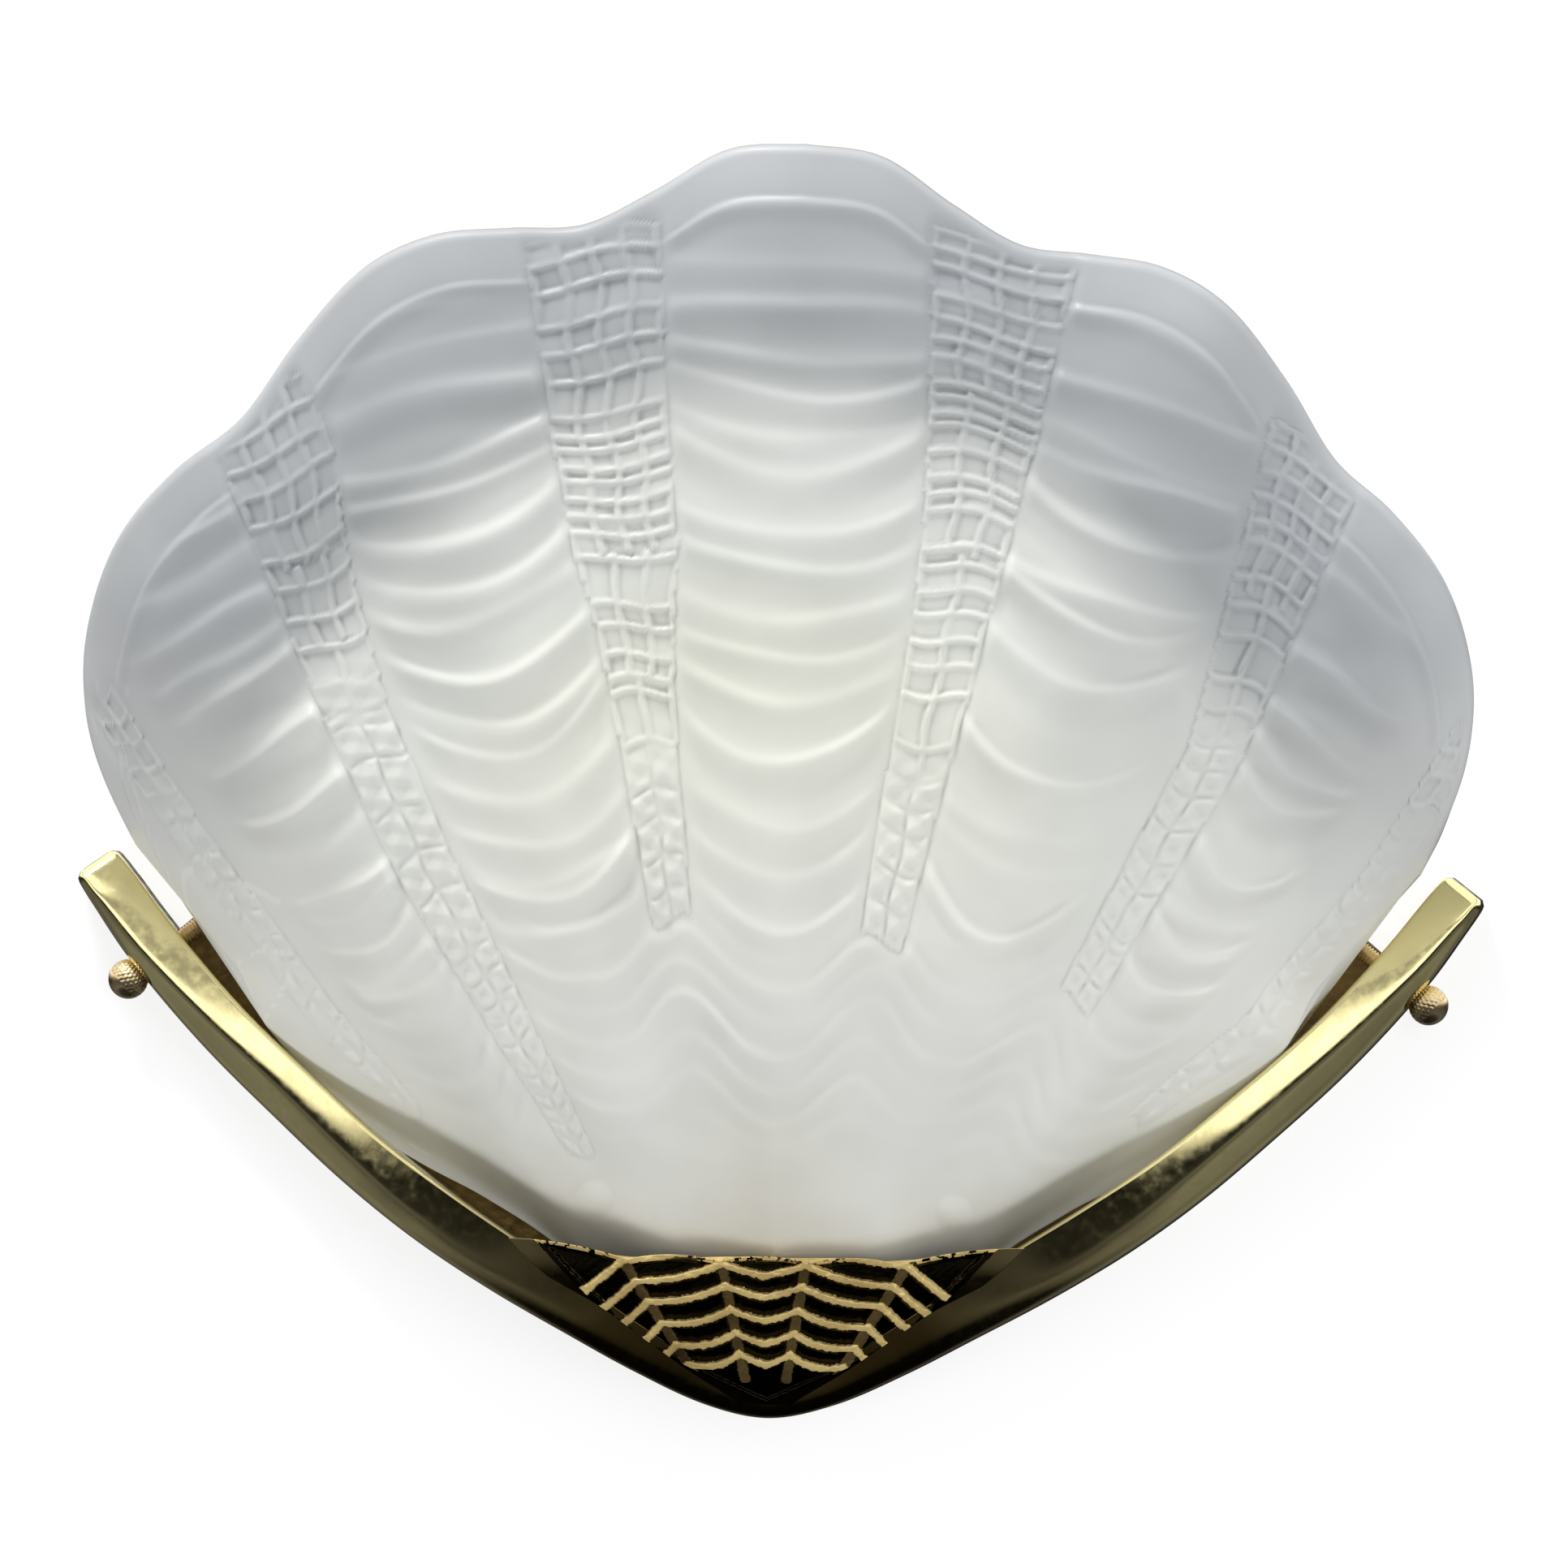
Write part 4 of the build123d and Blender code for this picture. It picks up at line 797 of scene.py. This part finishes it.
def thumb_knob(side):
    """Ball knob: collar, neck, knurled band and smooth dome."""
    ball = KNOB_GAP + NECK_HEIGHT + 0.8 * BALL_RADIUS
    profile = [(KNOB_GAP + out, radius) for out, radius in NECK_PROFILE]
    for angle in np.linspace(BALL_START, pi / 2 - 0.02, BALL_STEPS):
        profile.append((ball + BALL_RADIUS * sin(angle), BALL_RADIUS * cos(angle)))
    profile = np.array(profile)
    along = profile[:, 0]
    around = np.linspace(0, 2 * pi, KNOB_POINTS, endpoint=False)[None, :]
    polar = np.arcsin(np.clip((along - ball) / BALL_RADIUS, -1, 1))[:, None]
    band = smooth(*KNURL_START, polar) * smooth(*KNURL_END, polar)
    one_way = np.abs(np.sin(KNURLS / 2 * around + KNURL_SLANT * polar))
    other_way = np.abs(np.sin(KNURLS / 2 * around - KNURL_SLANT * polar))
    radius = profile[:, 1:2] - KNURL_DEPTH * band * (1 - (one_way * other_way) ** 0.6)
    points = turned(side, radius, along)
    return mesh_object(f"{SIDES[side]}_ball_knob", points, closed_sweep(points), f"{SIDES[side]}_knob")


# -------------------- materials
def feed(links, socket, value):
    """Sets a node's input to a number or a colour, or links an output to it."""
    if isinstance(value, tuple):
        socket.default_value = (*value, 1)
    elif isinstance(value, (int, float)):
        socket.default_value = value
    else:
        links.new(value, socket)


class Surface:
    """One Principled material, with helpers that add procedural detail in the object's own space."""

    def __init__(self, name, colour, roughness, metallic=0.0):
        self.material = bpy.data.materials.new(name)
        self.material.use_nodes = True
        self.nodes, self.links = self.material.node_tree.nodes, self.material.node_tree.links
        self.shader = self.nodes["Principled BSDF"]
        self.set(Base_Color=(*colour, 1), Roughness=roughness, Metallic=metallic)
        self.place = self.nodes.new("ShaderNodeTexCoord").outputs["Object"]
        self.height = None

    def set(self, **values):
        for name, value in values.items():
            self.shader.inputs[name.replace("_", " ")].default_value = value

    def noise(self, size, detail=4.0, stretch=(1, 1, 1)):
        """Noise whose lumps are about size millimetres across."""
        mapping = self.nodes.new("ShaderNodeMapping")
        mapping.inputs["Scale"].default_value = stretch
        self.links.new(self.place, mapping.inputs["Vector"])
        texture = self.nodes.new("ShaderNodeTexNoise")
        texture.inputs["Scale"].default_value = 1 / (size * MM)
        texture.inputs["Detail"].default_value = detail
        self.links.new(mapping.outputs[0], texture.inputs["Vector"])
        return texture.outputs["Fac"]

    def ramp(self, factor, *stops):
        """Colours (or greys) along a factor: each stop is (place, colour)."""
        ramp = self.nodes.new("ShaderNodeValToRGB")
        elements = ramp.color_ramp.elements
        while len(elements) < len(stops):
            elements.new(0.5)
        for element, (place, colour) in zip(elements, stops):
            element.position = place
            element.color = (*colour, 1) if isinstance(colour, tuple) else (colour, colour, colour, 1)
        self.links.new(factor, ramp.inputs["Fac"])
        return ramp.outputs["Color"]

    def math(self, operation, first, second=0.0):
        node = self.nodes.new("ShaderNodeMath")
        node.operation = operation
        feed(self.links, node.inputs[0], first)
        feed(self.links, node.inputs[1], second)
        return node.outputs[0]

    def mix(self, factor, first, second, blend="MIX"):
        node = self.nodes.new("ShaderNodeMix")
        node.data_type = "RGBA"
        node.blend_type = blend
        for socket, value in ((0, factor), (6, first), (7, second)):
            feed(self.links, node.inputs[socket], value)
        return node.outputs[2]

    def along(self, axis, start, length):
        """Distance along an axis, from a start, as a share of a length: both in millimetres."""
        split = self.nodes.new("ShaderNodeSeparateXYZ")
        self.links.new(self.place, split.inputs[0])
        distance = self.math("SUBTRACT", split.outputs[axis], start * MM)
        return self.math("MULTIPLY", distance, 1 / (length * MM))

    def squared(self, value):
        return self.math("POWER", self.math("ABSOLUTE", value), 2.0)

    def colour(self, socket):
        self.links.new(socket, self.shader.inputs["Base Color"])

    def roughness(self, socket):
        self.links.new(socket, self.shader.inputs["Roughness"])

    def bump(self, socket, distance, strength=1.0):
        """Bump of a given depth in millimetres, on top of any earlier one."""
        node = self.nodes.new("ShaderNodeBump")
        node.inputs["Strength"].default_value = strength
        node.inputs["Distance"].default_value = distance * MM
        self.links.new(socket, node.inputs["Height"])
        if self.height is not None:
            self.links.new(self.height, node.inputs["Normal"])
        self.height = node.outputs[0]
        self.links.new(self.height, self.shader.inputs["Normal"])


PAINTED_GLOW_HEART_Z = 20.0          # the pale heart of the shell, where a glow is painted, and the distance over which its tones run
GLASS_FADE = 168.0
# Tones of the glass with painted light: a warm, pale painted glow in the heart, grey painted shade round the
# lobes
GLASS_TONES_AND_PAINTED_LIGHT = [
    (0.3, (0.86, 0.86, 0.76)), (0.46, (0.8, 0.82, 0.77)), (0.6, (0.74, 0.755, 0.725)),
    (0.69, (0.46, 0.48, 0.485)), (0.82, (0.46, 0.475, 0.495)), (0.93, (0.58, 0.595, 0.61)),
]
LOW_PAINTED_GLOW = (0.9, 0.9, 0.85)   # painted glow low down; it fades out over the first 0.55 of this height above z = 0
LOW_PAINTED_GLOW_HEIGHT = 140.0
STRAP_TONE = (0.6, 0.54, 0.4)
STRAP_HALF = 30.0             # the strap's warm band: half width, foot and height
STRAP_FOOT_Z = -80.0
STRAP_HEIGHT = 80.0


def frosted_glass():
    """Milky satin glass with painted shade, bluish grey round the lobes, and a warm, pale painted glow
    towards the foot.
    """
    glass = Surface("frosted_glass", (0.6, 0.6, 0.58), 0.42)
    glass.set(IOR=1.45, Transmission_Weight=0.16)
    # painted light: pale glow in the heart, grey shade round the lobes, by distance from the heart
    across = glass.squared(glass.along("X", 0.0, GLASS_FADE))
    up = glass.squared(glass.along("Z", PAINTED_GLOW_HEART_Z, GLASS_FADE))
    tone = glass.ramp(glass.math("SQRT", glass.math("ADD", across, up)), *GLASS_TONES_AND_PAINTED_LIGHT)
    # painted glow: the glass paler and warmer low down
    low = glass.ramp(glass.along("Z", 0.0, LOW_PAINTED_GLOW_HEIGHT), (0.0, 1.0), (0.55, 0.0))
    tone = glass.mix(low, tone, LOW_PAINTED_GLOW)
    # a tint that stands in for the brass strap, which shows through the glass as a warm band near the foot
    near = glass.ramp(glass.math("ABSOLUTE", glass.along("X", 0.0, STRAP_HALF)), (0.15, 1.0), (0.85, 0.0))
    under = glass.ramp(glass.along("Z", STRAP_FOOT_Z, STRAP_HEIGHT), (0.2, 1.0), (0.8, 0.0))
    band = glass.math("MULTIPLY", glass.math("MULTIPLY", near, under), 0.6)
    tone = glass.mix(band, tone, STRAP_TONE)
    # painted highlight on the crests of the relief and painted shade in its hollows, from how pointed the
    # surface is
    crests = glass.nodes.new("ShaderNodeNewGeometry").outputs["Pointiness"]
    relief = glass.ramp(crests, (0.46, 0.83), (0.495, 0.985), (0.505, 1.0), (0.54, 1.06))
    tone = glass.mix(1.0, tone, relief, "MULTIPLY")
    cloud = glass.ramp(glass.noise(38, 3.0), (0.35, 0.93), (0.7, 1.04))
    glass.colour(glass.mix(1.0, tone, cloud, "MULTIPLY"))
    glass.roughness(glass.ramp(glass.noise(9, 6.0), (0.3, 0.36), (0.7, 0.5)))
    glass.bump(glass.noise(0.5, 3.0), 0.02, 0.6)
    glass.bump(glass.noise(14, 2.0), 0.25, 0.5)
    return glass.material


# Kinds of brass: skin is the depth of a cast skin, tarnish says how strong the tarnish is, tone its colour
BRASSES = {
    "polished_brass": dict(colour=(0.95, 0.84, 0.43), roughness=0.09, tarnish=0.12, painted_dark_middle=True),
    "dark_brass": dict(colour=(0.03, 0.024, 0.013), roughness=0.16, skin=0.05, tarnish=0.4,
                       tone=(0.01, 0.008, 0.006)),
    "rough_gold": dict(colour=(0.96, 0.73, 0.3), roughness=0.36, skin=0.5, tarnish=0.6,
                       tone=(0.35, 0.2, 0.05), metallic=0.45),
    "dull_ridge": dict(colour=(0.22, 0.15, 0.05), roughness=0.42, skin=0.4, tarnish=0.9,
                       tone=(0.05, 0.03, 0.012), metallic=0.7),
    "rough_cast": dict(colour=(0.2, 0.13, 0.04), roughness=0.45, skin=0.3, tarnish=0.8,
                       tone=(0.02, 0.015, 0.01), metallic=0.6),
    "turned_brass": dict(colour=(0.8, 0.63, 0.36), roughness=0.27, tarnish=0.6, tone=(0.12, 0.07, 0.03)),
    "sheet_brass": dict(colour=(0.62, 0.43, 0.17), roughness=0.32, tarnish=0.5),
    "aged_brass": dict(colour=(0.52, 0.36, 0.14), roughness=0.3, tarnish=0.6),
}
# Other surfaces: colour, roughness, metallic, depth and size of the grain, and how much darker patches are
PLAIN_KINDS = {
    "zinc_steel": ((0.6, 0.6, 0.58), 0.36, 1.0, 0.008, 0.5, 0.15),
    "holder_plastic": ((0.8, 0.78, 0.72), 0.38, 0.0, 0.01, 0.6, 0.05),
    "block_plastic": ((0.78, 0.76, 0.68), 0.3, 0.0, 0.008, 0.9, 0.06),
    "black_rubber": ((0.025, 0.025, 0.026), 0.62, 0.0, 0.02, 0.7, 0.2),
    "bulb_glass": ((0.96, 0.96, 0.95), 0.06, 0.0, 0.004, 5.0, 0.02),
    "bulb_steel": ((0.5, 0.49, 0.48), 0.3, 1.0, 0.002, 0.2, 0.2),
    "black_glass": ((0.02, 0.02, 0.025), 0.15, 0.0, 0.004, 0.6, 0.3),
    "solder": ((0.62, 0.62, 0.6), 0.42, 1.0, 0.03, 0.7, 0.2),
    "brown_sleeve": ((0.14, 0.055, 0.025), 0.34, 0.0, 0.01, 0.5, 0.15),
    "blue_sleeve": ((0.03, 0.09, 0.32), 0.34, 0.0, 0.01, 0.5, 0.15),
}
CLEAR_GLASS = dict(Transmission_Weight=1.0, IOR=1.3)


def brass(name, colour, roughness, tarnish, skin=0.0, tone=(0.16, 0.09, 0.03), metallic=1.0,
          painted_dark_middle=False):
    """Brass with uneven tarnish of a given tone, fine scratches along the part and, if asked, a cast skin."""
    metal = Surface(name, colour, roughness, metallic)
    stain = metal.ramp(metal.noise(11, 8.0), (0.42, 0.0), (0.78, tarnish))
    skin_tone = metal.mix(stain, colour, tone)
    if painted_dark_middle:
        # painted dark reflection: the bar's colour darker towards its middle
        across = metal.math("ABSOLUTE", metal.along("X", 0.0, 150))
        edge = metal.math("ADD", across, metal.math("MULTIPLY", metal.noise(30, 3.0), 0.12))
        clear_of_painted_dark = metal.ramp(edge, (0.28, 0.0), (0.5, 0.45), (0.68, 1.0))
        skin_tone = metal.mix(clear_of_painted_dark, (0.13, 0.09, 0.03), skin_tone)
    metal.colour(skin_tone)
    wear = metal.noise(2.2, 9.0)
    metal.roughness(metal.ramp(wear, (0.3, max(roughness - 0.07, 0.04)), (0.75, roughness + 0.14)))
    metal.bump(metal.noise(0.6, 2.0, (1, 0.12, 0.3)), 0.012, 0.5)
    if skin:
        metal.bump(metal.noise(1.6, 6.0), skin)
    return metal.material


def plain(name, colour, roughness, metallic, grain, grain_size, vary):
    """A moulded, drawn or plated surface with slight variation and a fine grain."""
    surface = Surface(name, colour, roughness, metallic)
    if name == "bulb_glass":
        surface.set(**CLEAR_GLASS)
    darker = tuple(channel * (1 - vary) for channel in colour)
    patches = surface.ramp(surface.noise(6, 5.0), (0.35, 0.0), (0.7, 1.0))
    surface.colour(surface.mix(patches, colour, darker))
    wear = surface.noise(3, 5.0)
    surface.roughness(surface.ramp(wear, (0.3, max(roughness - 0.06, 0.02)), (0.7, roughness + 0.08)))
    surface.bump(surface.noise(grain_size, 4.0), grain)
    return surface.material


def dress(frame, brasses):
    """Gives each CAD node that still shows its own material."""
    kinds = {name: plain(name, *look) for name, look in PLAIN_KINDS.items()}
    kinds.update({name: brasses[name] for name in ("sheet_brass", "aged_brass")})
    for part in frame["record"]["subparts"]:
        node, kind = frame["nodes"][part["node"]], part["material_slot"]
        if kind in kinds and not node.hide_render:
            node.data.materials.clear()
            node.data.materials.append(kinds[kind])


def main():
    """Makes and dresses the pieces, and lights them."""
    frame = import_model()

    shell = frosted_shell()
    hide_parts("glass_shade")
    shell.data.materials.append(frosted_glass())

    brasses = {name: brass(name, **look) for name, look in BRASSES.items()}
    bar = bracket_bar()
    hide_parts("bracket_casting")
    bar.data.materials.append(brasses["polished_brass"])
    panel, kinds = cup_panel()
    for name in ("polished_brass", "dark_brass", "rough_gold", "dull_ridge"):
        panel.data.materials.append(brasses[name])
    if len(panel.data.polygons) == len(kinds):
        panel.data.polygons.foreach_set("material_index", kinds)
    castings = [bar, panel, cast_flange(-1), cast_flange(1), cast_web()]
    for casting in castings[2:]:
        casting.data.materials.append(brasses["rough_cast"])

    for side, name in SIDES.items():
        for piece, node in ((thumb_stud(side), f"{name}_stud"), (thumb_knob(side), f"{name}_knob")):
            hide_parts(node)
            piece.data.materials.append(brasses["turned_brass"])

    dress(frame, brasses)
    wall()
    sky()
    lamps()
    camera()


# -------------------- studio and camera
# The photograph was taken from slightly to one side, with the camera a little askew: degrees
CAMERA_YAW = -3.48
CAMERA_PITCH = -0.43
CAMERA_ROLL = 1.13
CAMERA_TARGET = Vector((0, 0, 20))
CAMERA_AIM = (0.35, 24.5)     # middle of the picture, right of and above the target
FRAME_WIDTH = 333.0
CAMERA_DISTANCE = 12000.0
SENSOR = 36.0
WALL_HALF = 4000.0
WALL_Y = 1.5                  # just behind the sconce's back
WALL_LEVELS = (0.3, 0.76)     # the wall's grey and its own glow
# Sky that reflections see: place from straight below (0) to straight above (1), and brightness
SKY = [
    (0.0, 0.004), (0.09, 0.012), (0.15, 0.13), (0.2, 0.2), (0.26, 0.09), (0.33, 0.12), (0.4, 0.03),
    (0.51, 0.015), (0.545, 0.12), (0.585, 1.35), (0.66, 1.7), (0.69, 0.4), (0.73, 0.35), (0.77, 1.5),
    (0.9, 1.25),
]
EVEN_LIGHT = (0.4, 0.405, 0.415)   # the even light that falls on the surfaces
LAMP_AIM = Vector((0, 0, 0.03))
# Name, place and size in metres, power in watts and colour
LAMPS = [
    ("key", (-0.45, -0.75, 1.45), 0.5, 21, (1, 0.985, 0.96)),
    ("fill", (0.7, -1.5, 0.1), 1.0, 7, (0.95, 0.97, 1)),
    ("low_left", (-1.25, -0.5, -0.55), 0.5, 8, (1, 1, 0.97)),
    ("low_right", (1.25, -0.5, -0.5), 0.5, 6.5, (1, 1, 0.97)),
]


def camera_place():
    """Camera's matrix: turned about the upright, tipped, then rolled."""
    yaw, pitch, roll = radians(CAMERA_YAW), radians(CAMERA_PITCH), radians(CAMERA_ROLL)
    right = Vector((cos(yaw), -sin(yaw), 0))
    viewer = Vector((-sin(yaw), -cos(yaw), 0))
    up = Vector((0, 0, 1)) * cos(pitch) + viewer * sin(pitch)
    viewer = viewer * cos(pitch) - Vector((0, 0, 1)) * sin(pitch)
    right, up = right * cos(roll) + up * sin(roll), up * cos(roll) - right * sin(roll)
    spot = CAMERA_TARGET + right * CAMERA_AIM[0] + up * CAMERA_AIM[1] + viewer * CAMERA_DISTANCE
    turn = Matrix((right, up, viewer)).transposed().to_4x4()
    return Matrix.Translation(spot * MM) @ turn


def fresh_nodes(owner, *kinds):
    """New nodes, alone in the tree of a material or the world, and the tree's links."""
    owner.use_nodes = True
    tree = owner.node_tree
    tree.nodes.clear()
    return [tree.nodes.new(f"ShaderNode{kind}") for kind in kinds], tree.links


def wall():
    """The wall, which only the camera sees: even from the front and clear from behind."""
    corners = np.array([(-1, -1), (1, -1), (1, 1), (-1, 1)]) * WALL_HALF
    backdrop = placed("wall", mesh_of("wall", np.insert(corners, 1, WALL_Y, axis=1), [(0, 1, 2, 3)]))
    backdrop.visible_diffuse = False
    backdrop.visible_glossy = False
    backdrop.visible_transmission = False
    backdrop.visible_shadow = False
    paint = bpy.data.materials.new("wall_paint")
    (white, glow, both, clear, facing, mix, out), links = fresh_nodes(
        paint, "BsdfDiffuse", "Emission", "AddShader", "BsdfTransparent", "NewGeometry", "MixShader",
        "OutputMaterial")
    grey, glowing = WALL_LEVELS
    white.inputs["Color"].default_value = (grey, grey, grey, 1)
    glow.inputs["Strength"].default_value = glowing
    links.new(white.outputs[0], both.inputs[0])
    links.new(glow.outputs[0], both.inputs[1])
    links.new(facing.outputs["Backfacing"], mix.inputs["Fac"])
    links.new(both.outputs[0], mix.inputs[1])
    links.new(clear.outputs[0], mix.inputs[2])
    links.new(mix.outputs[0], out.inputs["Surface"])
    backdrop.data.materials.append(paint)


def sky():
    """The world: bands of sky for reflections, even light for surfaces, white for the camera and glass."""
    world = bpy.data.worlds.new("studio")
    bpy.context.scene.world = world
    (coordinates, split, shift, bands, even, soft, white, ray, most, mix, out), links = fresh_nodes(
        world, "TexCoord", "SeparateXYZ", "MapRange", "ValToRGB", "Mix", "Background", "Background",
        "LightPath", "Math", "MixShader", "OutputWorld")
    stops = bands.color_ramp.elements
    stops[0].position, stops[1].position = SKY[0][0], SKY[-1][0]
    for place, _ in SKY[1:-1]:
        stops.new(place)
    for stop, (_, level) in zip(stops, SKY):
        stop.color = (level, level, level, 1)
    shift.inputs["From Min"].default_value = -1
    links.new(coordinates.outputs["Generated"], split.inputs[0])
    links.new(split.outputs["Z"], shift.inputs["Value"])
    links.new(shift.outputs[0], bands.inputs["Fac"])
    even.data_type = "RGBA"
    even.inputs[6].default_value = (*EVEN_LIGHT, 1)
    links.new(ray.outputs["Is Glossy Ray"], even.inputs[0])
    links.new(bands.outputs["Color"], even.inputs[7])
    links.new(even.outputs[2], soft.inputs["Color"])
    white.inputs["Color"].default_value = (1, 1, 1, 1)
    most.operation = "MAXIMUM"
    links.new(ray.outputs["Is Camera Ray"], most.inputs[0])
    links.new(ray.outputs["Is Transmission Ray"], most.inputs[1])
    links.new(most.outputs[0], mix.inputs["Fac"])
    links.new(soft.outputs[0], mix.inputs[1])
    links.new(white.outputs[0], mix.inputs[2])
    links.new(mix.outputs[0], out.inputs["Surface"])


def lamps():
    """Four square lamps, aimed at the sconce. Only the key light shows in reflections."""
    for name, place, size, power, colour in LAMPS:
        light = bpy.data.lights.new(name, "AREA")
        light.shape = "SQUARE"
        light.size = size
        light.energy = power
        light.color = colour
        lamp = placed(name, light)
        lamp.location = place
        lamp.visible_glossy = name == "key"
        lamp.rotation_mode = "QUATERNION"
        lamp.rotation_quaternion = (LAMP_AIM - Vector(place)).to_track_quat("-Z", "Y")


def camera():
    """The photograph's view."""
    lens = bpy.data.cameras.new("camera")
    lens.sensor_width = SENSOR
    lens.lens = SENSOR * CAMERA_DISTANCE / FRAME_WIDTH
    lens.clip_end = 100
    eye = placed("camera", lens)
    eye.matrix_world = camera_place()
    bpy.context.scene.camera = eye
    bpy.context.scene.view_settings.view_transform = "Standard"


main()
